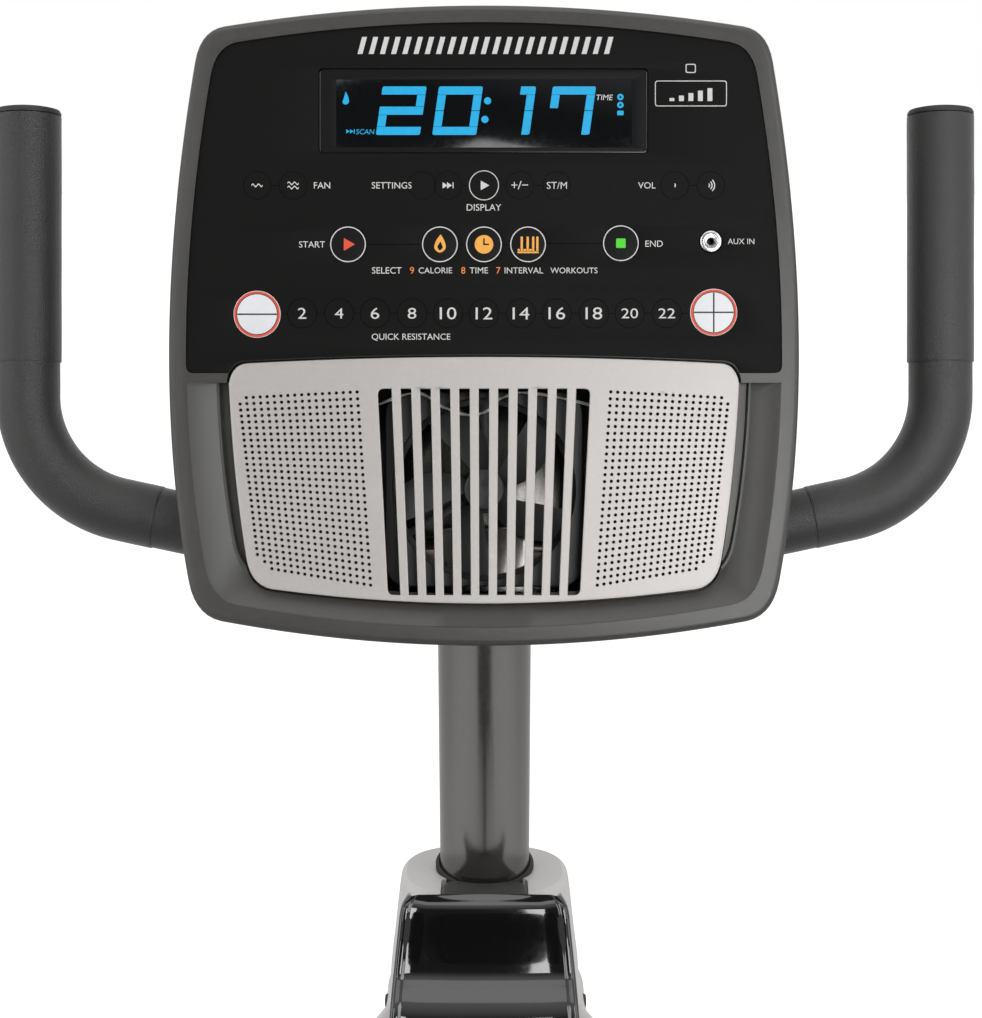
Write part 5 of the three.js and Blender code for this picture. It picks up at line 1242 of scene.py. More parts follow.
def make_keys():
    face = OVERLAY_FRONT + 0.3
    inks = {
        "white": print_white, "orange": print_orange, "red": print_red, "green": print_green,
        "black": print_black, "dark": print_black, "amber": print_amber
    }

    def sign(key, parts, ink):
        printed(
            f"{key}_{ink}", parts, inks[ink], key,
        )

    for key, (x, y, radius) in KEY_PLACES.items():
        pale = key in ("key_minus", "key_plus")
        cap = slab(ring_of(radius, x, y, 64), face - 0.95, face, top_round=0.28, segments=3)
        seat_in(cap, CONSOLE)
        finish_piece(
            cap, f"{key}_cap", key_white if pale else key_film, key,
            [key],
        )
    z = face + 0.03
    for key, upright in (("key_minus", False), ("key_plus", True)):
        x, y, radius = KEY_PLACES[key]
        sign(key, [hoop(x, y, radius - 0.3, 1.15, z, 64)], "red")
        sign(key, [hoop(x, y, radius - 1.45, 0.45, z, 64)], "dark")
        lines = [band([(x - 10.4, y), (x + 10.4, y)], 0.8, z)]
        if upright:
            lines += [
                band([(x, y - 10.4), (x, y - 0.4)], 0.8, z), band([(x, y + 0.4), (x, y + 10.4)], 0.8, z),
            ]
        sign(key, lines, "black")
    for key in ("key_start", "key_end", "key_calorie", "key_time", "key_interval"):
        x, y, radius = KEY_PLACES[key]
        sign(key, [hoop(x, y, radius - 0.2, 0.55, z, 56)], "white")
    x, y, _ = KEY_PLACES["key_start"]
    sign("key_start", [blob([(x - 2.2, y - 3.4, 0.5), (x + 3.7, y, 0.5), (x - 2.2, y + 3.4, 0.5)], z)], "red")
    x, y, _ = KEY_PLACES["key_end"]
    sign(
        "key_end",
        [
            blob(
                [
                    (x - 2.5, y - 2.5, 0.5), (x + 2.5, y - 2.5, 0.5), (x + 2.5, y + 2.5, 0.5),
                    (x - 2.5, y + 2.5, 0.5),
                ],
                z,
            )
        ],
        "green",
    )
    x, y, _ = KEY_PLACES["key_calorie"]
    drop = [
        (x - 3.4, y - 2.2, 2.0), (x, y - 5.0, 2.4), (x + 3.4, y - 2.2, 2.0), (x + 2.6, y + 1.6, 1.4),
        (x + 0.4, y + 5.4, 0.4), (x - 2.2, y + 1.8, 1.0),
    ]
    spark = [
        (x - 0.2, y - 3.6, 1.2), (x + 1.7, y - 1.6, 0.8), (x + 0.3, y + 1.6, 0.3),
        (x - 1.5, y - 1.2, 0.6),
    ]
    outer, inner = rounded(drop, 4), rounded(spark, 4)
    sign("key_calorie", [flat_sheet([outer, inner[::-1]], z)], "amber")
    x, y, _ = KEY_PLACES["key_time"]
    hands = [
        (x - 0.4, y - 0.4), (x + 2.6, y - 0.4), (x + 2.6, y + 0.4), (x + 0.4, y + 0.4),
        (x + 0.4, y + 3.2), (x - 0.4, y + 3.2),
    ]
    sign("key_time", [flat_sheet([ring_of(4.9, x, y, 40), hands[::-1]], z)], "amber")
    x, y, _ = KEY_PLACES["key_interval"]
    steps = [flat_sheet([rounded_box(1.2, 6.4, 0.2, x + dx, y + 0.9)], z) for dx in (-3.3, -0.2, 2.7, 4.9)]
    steps += [
        flat_sheet([rounded_box(1.2, 1.1, 0.2, x + dx, y - 2.95)], z)
        for dx in (-4.9, -3.3, -1.75, -0.2, 1.25, 2.7, 4.9)
    ]
    steps.append(flat_sheet([rounded_box(11.2, 0.9, 0.3, x, y - 4.2)], z))
    sign("key_interval", steps, "amber")


def make_jack():
    rim = turned(
        [
            (1.9, -11), (4.2, -11), (4.2, -2.6), (5.9, -2.6), (5.9, -0.9), (5.5, -0.2), (4.6, 0.2),
            (3.6, 0.1), (3.2, -0.3), (2.2, -0.4), (1.9, -0.8), (1.9, -11),
        ],
        48,
    )
    seat_in(rim, CONSOLE @ Matrix.Translation((*JACK, 0)))
    finish_piece(rim, "jack_ring", bright_steel, "frame", ["aux_jack"])
    well = turned([(0, -9.5), (1.85, -9.5), (1.85, -1.4), (1.55, -1.4), (1.55, -9.1), (0, -9.1)], 24)
    seat_in(well, CONSOLE @ Matrix.Translation((*JACK, 0)))
    finish_piece(well, "jack_well", black_plastic, "frame")


def slot_loop(i):
    count, top, low = 11, -33.0, -142.6

    def edge(half, share):
        return -half + 2 * half * share / count

    margin = 0.36 / 2
    a = i + (margin if i else 0)
    b = i + 1 - (margin if i < count - 1 else 0)
    left, right = (6.5 if i == 0 else 0.5), (6.5 if i == count - 1 else 0.5)
    corners = [
        (edge(56.5, a), top, left), (edge(51, a), low, left), (edge(51, b), low, right),
        (edge(56.5, b), top, right),
    ]
    return rounded(corners, 5)


HOLE_COLUMNS, HOLE_ROWS = 18, 29
PLAIN_CELLS = ((0, 0), (28, 0), (28, 1), (27, 0))


def field_point(side, i, j):
    """A point of the fanned field, in half cells from its outer top corner."""
    u, v = (i / 2 - 0.5) / (HOLE_COLUMNS - 1), (j / 2 - 0.5) / (HOLE_ROWS - 1)
    upper = Vector((-128.6, -38.4)).lerp(Vector((-66.7, -35.2)), u)
    lower = Vector((-118.4, -127.0)).lerp(Vector((-59.6, -136.8)), u)
    point = upper.lerp(lower, v)
    return point.x * side, point.y


def speaker_field(side):
    """The perforated skin over a speaker: one small cell round each hole."""
    mesh = bmesh.new()
    corners = {}

    def corner(i, j):
        if (i, j) not in corners:
            x, y = field_point(side, i, j)
            corners[i, j] = mesh.verts.new((x, y, 0))
        return corners[i, j]

    around = ((0, 0), (1, 0), (2, 0), (2, 1), (2, 2), (1, 2), (0, 2), (0, 1))
    for row in range(HOLE_ROWS):
        for column in range(HOLE_COLUMNS):
            rim = [corner(2 * column + a, 2 * row + b) for a, b in around]
            if (row, column) in PLAIN_CELLS:
                mesh.faces.new(rim)
                continue
            x, y = field_point(side, 2 * column + 1, 2 * row + 1)
            centre = Vector((x, y, 0))
            hole = [mesh.verts.new(centre + (v.co - centre).normalized() * 0.94) for v in rim]
            for k in range(8):
                n = (k + 1) % 8
                mesh.faces.new((rim[k], rim[n], hole[n], hole[k]))
    data = bpy.data.meshes.new("field")
    mesh.to_mesh(data)
    mesh.free()
    obj = bpy.data.objects.new("field", data)
    scene.collection.objects.link(obj)
    wide, high = 2 * HOLE_COLUMNS, 2 * HOLE_ROWS
    border = [(i, 0) for i in range(wide)] + [(wide, j) for j in range(high)]
    border += [(i, high) for i in range(wide, 0, -1)] + [(0, j) for j in range(high, 0, -1)]
    return obj, [field_point(side, i, j) for i, j in border]


def bead(loop, z, radius):
    """A round bead along a closed outline."""
    curve = bpy.data.curves.new("bead", "CURVE")
    curve.dimensions = "3D"
    curve.bevel_depth = radius
    curve.bevel_resolution = 2
    line = curve.splines.new("POLY")
    line.use_cyclic_u = True
    line.points.add(len(loop) - 1)
    for spot, (x, y) in zip(line.points, loop):
        spot.co = (x, y, z, 1)
    obj = bpy.data.objects.new("bead", curve)
    scene.collection.objects.link(obj)
    alone(obj)
    bpy.ops.object.convert(target="MESH")
    outward(bpy.context.object, 1e-4)
    return bpy.context.object


def make_grille():
    fields, borders = zip(*(speaker_field(side) for side in (-1, 1)))
    slots = [slot_loop(i) for i in range(11)]
    face = flat_sheet([grille_outline(0.8)] + slots + list(borders), 0)
    whole = join("grille", [face] + list(fields))
    alone(whole)
    bpy.ops.object.mode_set(mode="EDIT")
    bpy.ops.mesh.select_all(action="SELECT")
    bpy.ops.mesh.remove_doubles(threshold=0.01)
    bpy.ops.object.mode_set(mode="OBJECT")
    outward_flat(whole)
    seat_in(whole, Matrix.Translation((0, 0, 1.5)))
    wall = whole.modifiers.new("wall", "SOLIDIFY")
    wall.thickness = 2.5
    wall.offset = -1
    apply_all(whole)
    skirt = flat_sheet([grille_outline(1.0), grille_outline(3.4)[::-1]], -4.4, 7.6, 0.3)
    # a rounded bead finishes each slot and the outer edge
    beads = [bead(slot, 0.95, 0.6) for slot in slots] + [bead(grille_outline(1.3), 0.75, 0.85)]
    whole = join("grille", [whole, skirt] + beads)
    seat_in(whole, CONSOLE)
    return finish_piece(whole, "grille", grille_silver, "frame", ["speaker_grille"], 50)


def clockwise(loop):
    area = sum(a[0] * b[1] - b[0] * a[1] for a, b in zip(loop, loop[1:] + loop[:1]))
    return area < 0


def make_backing():
    """Dark cloth behind the speaker holes."""
    cloth = []
    for side in (-1, 1):
        field = [(-131.0, -35.5, 3), (-120.0, -131.5, 3), (-58.8, -141.0, 3), (-64.5, -32.0, 3)]
        loop = rounded([(x * side, y, c) for x, y, c in field], 3)
        cloth.append(slab(loop if not clockwise(loop) else loop[::-1], -3.2, -2.2, top_round=0.2, segments=1))
    sheet = join("speaker_cloth", cloth)
    seat_in(sheet, CONSOLE)
    finish_piece(sheet, "speaker_cloth", textured_black, "frame")


def make_fan():
    duct = slab(rounded_box(106, 104, 14, 0, -86.3), -34, -11.8, top_round=1.2, low_round=0.8, segments=3)
    bore = slab(ring_of(49, 0, -86.3, 72), -31.5, 5)
    rear = slab(ring_of(46.5, 0, -86.3, 72), -40, -20)
    carve(duct, [bore, rear])
    struts = [duct]
    for angle in (90, 210, 330):
        strut = slab(
            rounded([(8, -2.2, 1), (49, -2.2, 1), (49, 2.2, 1), (8, 2.2, 1)], 2), -34, -31.6,
            top_round=0.5, segments=2,
        )
        seat_in(strut, Matrix.Translation((0, -86.3, 0)) @ Matrix.Rotation(angle * DEG, 4, "Z"))
        struts.append(strut)
    pod = turned([(0, -42), (11.8, -42), (13, -40.8), (13, -32.2), (12.4, -31.5), (0, -31.5)], 40)
    seat_in(pod, Matrix.Translation((0, -86.3, 0)))
    struts.append(pod)
    mount = join("fan_duct", struts)
    seat_in(mount, CONSOLE)
    finish_piece(mount, "fan_duct", black_plastic, "frame", ["fan_mount"])
    hub = turned(
        [(0, -7), (10, -7), (11, -6), (11, 5.4), (10.4, 6.6), (9, 7), (3, 7), (2.4, 6.6), (0, 6.6)], 48,
    )
    parts = [hub]
    for k in range(5):
        rings = []
        for step in range(11):
            share = step / 10
            reach = 10.2 + (46 - 10.2) * share
            chord = 11 + 11.5 * math.sin(share * 0.8 * math.pi) + 2 * share
            pitch = (38 - 16 * share) * DEG
            sweep = -0.16 + 0.34 * share
            rings.append([])
            for t, thick in ((-0.5, 0.15), (-0.2, 0.75), (0.2, 0.8), (0.5, 0.2), (0.2, -0.55), (-0.2, -0.5)):
                along = chord * t
                x, z = along * math.cos(pitch), along * math.sin(pitch) + thick
                turn = sweep + x / max(reach, 14)
                rings[-1].append((reach * math.cos(turn), reach * math.sin(turn), z))
        blade = lofted(rings)
        seat_in(blade, Matrix.Rotation((108 + 72 * k) * DEG, 4, "Z"))
        parts.append(blade)
    rotor = join("fan_wheel", parts)
    seat_in(rotor, CONSOLE @ Matrix.Translation((0, -86.3, -22)))
    finish_piece(rotor, "fan_wheel", fan_plastic, "fan", ["fan_rotor"], 40)


def make_speakers():
    for side, name in ((-1, "left"), (1, "right")):
        cone = turned(
            [
                (0, -17.5), (5, -18.2), (8.6, -20.6), (9.6, -20.4), (24, -13.6), (25.4, -12.6),
                (27.6, -12.9), (28.4, -12.2), (31, -12), (31, -15), (17, -27), (17, -36), (0, -36),
            ],
            48,
        )
        seat_in(cone, CONSOLE @ Matrix.Translation((side * 94, -86.3, 0)))
        finish_piece(
            cone, f"speaker_cone_{name}", black_plastic, "frame", [f"speaker_{name}"],
        )


def make_lead():
    knots = [
        (-80, -52, -14.5), (-58, -42, -10.5), (-36, -35, -9.5), (-22, -42.5, -8.5), (-8, -47, -8),
        (2, -44.5, -8), (9, -38, -8.5), (24, -35, -9.5), (58, -42, -10.5), (80, -52, -14.5),
    ]
    route = smooth_levels(knots, 8)
    wires = []
    for shift in (-0.42, 0.42):
        turned_route = []
        for i, point in enumerate(route):
            turn = i * 0.55 + (0 if shift > 0 else math.pi)
            turned_route.append(point + Vector((0, 0.42 * math.cos(turn), 0.42 * math.sin(turn))))
        wires.append(tube(turned_route, 0.48, 8))
    lead = join("speaker_wires", wires)
    seat_in(lead, CONSOLE)
    finish_piece(lead, "speaker_wires", lead_white, "frame", ["speaker_lead"])


# ------------------------------------------------------------------ handlebar and grips


def make_handlebar():
    corner_y = -34 - BAR_BEND * math.tan((90 * DEG - BAR_SLOPE) / 2)
    knee_x = GRIP_REACH - (BAR_DROP + corner_y) / math.tan(BAR_SLOPE)
    right = [
        (knee_x, -BAR_DROP, -BAR_BEHIND, 70), (GRIP_REACH, corner_y, -BAR_BEHIND, BAR_BEND),
        (GRIP_REACH, GRIP_TOP - 1, -BAR_BEHIND),
    ]
    left = [(-c[0],) + c[1:] for c in right[::-1]]
    bar = tube([Vector(p) for p in bent(left + right)], BAR_RADIUS, 32)
    seat_in(bar, CONSOLE)
    finish_piece(bar, "bar_tube", mast_paint, "frame", ["handlebar"])


def make_grips():
    for side, name in ((-1, "left"), (1, "right")):
        path = [CONSOLE.inverted() @ p for p in grip_route(side)]
        path = spread(path, 2.5)
        route, radii = [], []
        for p in path:
            if p.y > -16:
                radius = 18.15
            elif abs(p.x) > 179.5 or p.y > -84.7:
                radius = 17.35
            else:
                radius = 16.95
            route.append(p)
            radii.append(radius)
        # each change of sleeve is a crisp step with a rounded lip
        steps = [i for i in range(1, len(radii)) if radii[i] != radii[i - 1]]
        for i in reversed(steps):
            a, b = route[i - 1], route[i]
            low, high = radii[i - 1], radii[i]
            route[i:i] = [a.lerp(b, 0.3), a.lerp(b, 0.34), a.lerp(b, 0.5)]
            radii[i:i] = [low, high - 0.15, high]
        route[0:0] = [route[0] + (route[0] - route[1]) * 0.0004]
        radii[0:0] = [radii[0] - 1.2]
        foam = tube(route, 1, 56, radii)
        wavy = foam.modifiers.new("skin", "DISPLACE")
        lumps = bpy.data.textures.new(f"foam_{name}", "CLOUDS")
        lumps.noise_scale = 22
        lumps.noise_depth = 1
        wavy.texture = lumps
        wavy.strength = 0.28
        wavy.mid_level = 0.5
        apply_all(foam)
        seat_in(foam, CONSOLE)
        finish_piece(foam, f"foam_{name}", grip_foam, "frame", [f"grip_{name}"], 30)
        cap = turned(
            [
                (0, 104.5), (10, 104.5), (10.4, 105), (10.4, 118.9), (16.8, 118.9), (17.9, 119.6),
                (18.0, 121.0), (17.2, 122.4), (14.5, 123.0), (6, 123.0), (5.4, 122.6), (0, 122.6),
            ],
            64,
        )
        seat_in(
            cap,
            CONSOLE @ Matrix.Translation(
                (side * GRIP_REACH, 0, -BAR_BEHIND)
            ) @ Matrix.Rotation(-90 * DEG, 4, "X"),
        )
        finish_piece(cap, f"grip_end_{name}", black_plastic, "frame", [f"grip_cap_{name}"])


# ------------------------------------------------------------------ mast, gasket, collar and cover


def along_mast(z0, z1, count=2):
    return [
        Vector((0, mast_y(z0 + (z1 - z0) * k / (count - 1)), z0 + (z1 - z0) * k / (count - 1)))
        for k in range(count)
    ]


def make_mast():
    post = tube(along_mast(560, 929), MAST_RADIUS, 72)
    clamp = slab(
        rounded_box(50, 40, 5, 0, -BAR_DROP - 2), -BAR_BEHIND - 15, -BAR_BEHIND + 15, top_round=2,
        low_round=2, segments=3,
    )
    plate = slab(
        rounded_box(90, 124, 10, 0, -BAR_DROP + 34), -BAR_BEHIND - 18, -BAR_BEHIND - 14.2, top_round=0.8,
        low_round=0.8, segments=2,
    )
    parts = []
    for part in (clamp, plate):
        parts.append(seat_in(part, MM.inverted() @ CONSOLE))
    mast = join("mast_tube", [post] + parts)
    seat_in(mast, MM)
    finish_piece(mast, "mast_tube", mast_paint, "frame", ["mast"])
    lean = Matrix.Translation((0, MAST_FOOT_Y, COLLAR_TOP)) @ Matrix.Rotation(LEAN, 4, "X")
    seal = turned(
        [
            (26.1, -6), (27.9, -6), (28.1, 1.2), (28.7, 2.2), (28.7, 3.6), (28.0, 4.6), (26.9, 4.9),
            (26.2, 4.4), (26.1, -6),
        ],
        72,
    )
    seat_in(seal, MM @ lean)
    finish_piece(seal, "mast_seal", rubber_black, "frame")


def squared_ring(half_x, y0, y1, z, count=96, power=2.7):
    ring = []
    for k in range(count):
        a = 2 * math.pi * k / count
        c, s = math.cos(a), math.sin(a)
        x = math.copysign(abs(c) ** (2 / power), c) * half_x
        y = (y0 + y1) / 2 + math.copysign(abs(s) ** (2 / power), s) * (y1 - y0) / 2
        ring.append((x, y, z))
    return ring


COVER_BACK = MAST_FOOT_Y - 45.8


def shroud_back(z):
    return 112 + (z - 510) / (SHOULDER - 510) * (176 - 112)


def make_collar():
    y = MAST_FOOT_Y
    levels = [
        (673.6, 56, y - 60, y + 72), (676.3, 56, y - 60, y + 72), (693, 54.6, y - 57, y + 66),
        (710, 52.5, y - 54, y + 55), (727, 50.6, y - 50, y + 47.5), (739, 49.2, y - 47, y + 43.5),
        (743.6, 48.0, y - 45.4, y + 42.0), (746, 45.4, y - 43.2, y + 39.4),
    ]
    neck = lofted([squared_ring(v[1], v[2], v[3], v[0]) for v in smooth_levels(levels, 4)])
    passage = tube(along_mast(640, 780), MAST_RADIUS + 2.6, 64)
    tongue_room = slab(rounded_box(49.8, 40, 6, 0, COVER_BACK + 8), COLLAR_TOP - 5.4, COLLAR_TOP + 4)
    rear = slab(rounded_box(170, 104, 1, 0, COVER_BACK - 51.6), SHOULDER - 4, COLLAR_TOP + 12)
    carve(neck, [passage, tongue_room, rear])
    seat_in(neck, MM)
    finish_piece(neck, "collar", silver_plastic, "frame", ["mast_collar"], 32)


def make_cover():
    """A glossy skin: flat in the middle, with a raised rim, creased where the neck meets the shroud."""
    profile = [
        (747.4, COVER_BACK - 4.0), (744, COVER_BACK - 8.4), (738, COVER_BACK - 11.0),
        (722, COVER_BACK - 13.6), (708, COVER_BACK - 17.6), (701, COVER_BACK - 22.5),
        (690, COVER_BACK - 31.5), (676, shroud_back(676) - 9.6), (640, shroud_back(640) - 9.2),
        (560, shroud_back(560) - 9.0), (536, shroud_back(536) - 8.6), (529, shroud_back(530) - 6.0),
    ]
    width = [(748, 45.6), (738, 47.6), (700, 51.6), (676, 53.6), (600, 58.0), (529, 60.4)]

    def wide_at(z):
        for (z1, w1), (z0, w0) in zip(width, width[1:]):
            if z >= z0:
                return w0 + (w1 - w0) * (z - z0) / (z1 - z0)
        return width[-1][1]

    across = [
        (-1.0, 5.2), (-1.0, 1.2), (-0.985, 0.1), (-0.955, -0.7), (-0.92, -0.6), (-0.895, 0.0),
        (-0.87, 0.5),
    ]
    middle = [(-0.7 + 0.14 * k, 0.5 - 1.6 * (1 - ((k - 5) / 6.2) ** 2)) for k in range(11)]
    section = across + middle + [(-u, d) for u, d in across[::-1]]
    rings = []
    rows = smooth_levels([(z, y, 0) for z, y in profile], 5)
    top_rows = 3
    for k, row in enumerate(rows):
        z, y = row[0], row[1]
        half = wide_at(z)
        corner = max(0.0, 1 - (748 - z) / 7) ** 2
        low_corner = max(0.0, 1 - (z - 528) / 12) ** 2
        ring = []
        for u, d in section:
            rise = (1 - u * u) * (1.2 if k < top_rows else 0) * (1 - k / top_rows if k < top_rows else 0)
            ring.append((u * (half - 3.5 * corner - 9 * low_corner), y + d, z + rise))
        rings.append(ring)
    bm = bmesh.new()
    grid = [[bm.verts.new(p) for p in ring] for ring in rings]
    for upper, lower in zip(grid, grid[1:]):
        for k in range(len(upper) - 1):
            bm.faces.new((upper[k], upper[k + 1], lower[k + 1], lower[k]))
    data = bpy.data.meshes.new("cover")
    bm.normal_update()
    flip = sum(f.normal.y for f in bm.faces) > 0
    if flip:
        bmesh.ops.reverse_faces(bm, faces=bm.faces)
    bm.to_mesh(data)
    bm.free()
    skin = bpy.data.objects.new("cover", data)
    scene.collection.objects.link(skin)
    wall = skin.modifiers.new("wall", "SOLIDIFY")
    wall.thickness = 2.4
    wall.offset = -1
    wall.use_even_offset = True
    edge = skin.modifiers.new("edge", "BEVEL")
    edge.width = 0.5
    edge.segments = 2
    edge.limit_method = "ANGLE"
    edge.angle_limit = 50 * DEG
    apply_all(skin)
    seat_in(skin, MM)
    finish_piece(skin, "cover", gloss_black, "frame", ["mast_cover"], 45)
    loop = rounded(
        [
            (-24.5, COVER_BACK - 4.5, 4), (24.5, COVER_BACK - 4.5, 4), (22.5, COVER_BACK + 22, 8),
            (-22.5, COVER_BACK + 22, 8),
        ],
        6,
    )
    tongue = slab(loop, COLLAR_TOP - 5, COLLAR_TOP + 1, top_round=1.4, segments=4)
    passage = tube(along_mast(720, 780), MAST_RADIUS + 2.8, 64)
    carve(tongue, [passage])
    seat_in(tongue, MM)
    finish_piece(tongue, "cover_tongue", textured_black, "frame", (), 35)


make_bezel()
make_housing()
make_overlay()
make_display()
print_overlay()
make_keys()
make_jack()
make_grille()
make_backing()
make_fan()
make_speakers()
make_lead()
make_handlebar()
make_grips()
make_mast()
make_collar()
make_cover()

# ------------------------------------------------------------------ shroud

SHROUD_CORNERS = [
    (150, 138.0, 50), (72, 290, 90), (112, 510, 90), (176, 676, 28), (330, 676, 60), (530, 562, 90),
    (700, 474, 80), (756, 330, 80), (738, 138, 40),
]


def drawn_in(loop, distance):
    """The outline moved inwards by a distance, point by point."""
    count = len(loop)
    result = []
    for i, (x, y) in enumerate(loop):
        before, after = Vector(loop[i - 2]), Vector(loop[(i + 2) % count])
        along = (after - before).normalized()
        result.append((x - along.y * distance, y + along.x * distance))
    return result


def eased(value, low, high):
    t = max(0.0, min(1.0, (value - low) / (high - low)))
    return t * t * (3 - 2 * t)


def neck_share(along, height):
    return 1 - 0.225 * eased(along, 172, 246) * eased(height, 556, 668)


def draw_in_shoulder(half):
    """The sides draw in towards the neck, ahead of the shoulder's rear edge."""
    alone(half)
    bpy.ops.object.mode_set(mode="EDIT")
    for level in range(556, 676, 12):
        bpy.ops.mesh.select_all(action="SELECT")
        bpy.ops.mesh.bisect(plane_co=(0, level, 0), plane_no=(0, 1, 0))
    for along in range(130, 460, 16):
        bpy.ops.mesh.select_all(action="SELECT")
        bpy.ops.mesh.bisect(plane_co=(along, 0, 0), plane_no=(1, 0, 0))
    bpy.ops.object.mode_set(mode="OBJECT")
    for vertex in half.data.vertices:
        along, height, wide = vertex.co
        vertex.co.z = wide * neck_share(along, height) if wide > 20 else wide


def make_shroud():
    loop = rounded(SHROUD_CORNERS, 12)
    if clockwise(loop):
        loop = loop[::-1]
    for side, name in ((-1, "left"), (1, "right")):
        half = slab(loop, 0.15, SHROUD_WIDE, top_round=10, segments=7)
        draw_in_shoulder(half)
        cuts = [slab(ring_of(24, *CRANK, 64), 40, 90)]
        # a shallow step that follows the outline, and vents over the flywheel
        groove = lofted(
            [
                at_height(drawn_in(loop, d), z)
                for d, z in ((30, 75), (30, 69.2), (32.4, 69.2), (32.4, 75))
            ],
            closed=True,
        )
        cuts.append(groove)
        for k in range(6):
            turn = Matrix.Translation((600, 330, 0)) @ Matrix.Rotation((-34 + 14 * k) * DEG, 4, "Z")
            vent = slab(rounded_box(46, 6, 2.9, 72, 0), 64, 90)
            cuts.append(seat_in(vent, turn))
        if side > 0:
            plug_room = tube([Vector((700, 210, 36)), Vector((790, 210, 36))], 9.5, 40)
            cuts.append(plug_room)
        carve(half, cuts)
        seat_in(half, SIDEWAYS)
        if side < 0:
            seat_in(half, Matrix.Diagonal((-1, 1, 1, 1)))
            outward(half, 1e-4)
        seat_in(half, MM)
        finish_piece(
            half, f"shroud_{name}_shell", silver_plastic, "frame", [f"shroud_{name}"],
            32,
        )
        screws = []
        for y, z in ((150, 560), (420, 590), (700, 300), (560, 160), (200, 200)):
            screw = turned(
                [(0, 0.2), (2.0, 0.2), (2.3, 1.3), (4.4, 1.0), (5.0, 0.2), (5.0, -1.5), (0, -1.5)], 24,
            )
            seat_in(
                screw,
                Matrix.Translation(
                    (side * SHROUD_WIDE * neck_share(y, z), y, z)
                ) @ Matrix.Rotation(side * 90 * DEG, 4, "Y"),
            )
            screws.append(screw)
        heads = join("screws", screws)
        seat_in(heads, MM)
        finish_piece(heads, f"shroud_screws_{name}", crank_paint, "frame")
        cover = turned(
            [(24.0, -3), (24.0, 0.6), (26, 1.6), (40, 2.4), (43, 1.8), (44, 0.2), (44, -3), (24, -3)], 72,
        )
        seat_in(
            cover,
            MM @ Matrix.Translation(
                (side * SHROUD_WIDE, *CRANK)
            ) @ Matrix.Rotation(side * 90 * DEG, 4, "Y"),
        )
        finish_piece(cover, f"axle_cover_{name}", black_plastic, "frame")
    socket = turned(
        [(4, -0.5), (7.8, -0.5), (9.0, -1.5), (9, -25), (2, -25), (2, -22), (4, -22), (4, -0.5)], 40,
    )
    inlet_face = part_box("power_inlet")[1].y * 1000
    seat_in(socket, MM @ Matrix.Translation((36, inlet_face, 210)) @ Matrix.Rotation(-90 * DEG, 4, "X"))
    finish_piece(socket, "power_socket", black_plastic, "frame", ["power_inlet"])
    pin = turned([(0, -4), (0.9, -4.6), (1.1, -6), (1.1, -23), (0, -23)], 20)
    seat_in(pin, MM @ Matrix.Translation((36, inlet_face, 210)) @ Matrix.Rotation(-90 * DEG, 4, "X"))
    finish_piece(pin, "power_pin", bright_steel, "frame")


# ------------------------------------------------------------------ base


def drawn_along_x(loop, x0, x1, round_over, segments=4):
    body = slab(
        loop if not clockwise(loop) else loop[::-1], x0, x1, top_round=round_over, low_round=round_over,
        segments=segments,
    )
    return seat_in(body, SIDEWAYS)


FRONT_Y, REAR_Y, WHEEL_Y, WHEEL_Z = 725.0, -775.0, 792.0, 38.0


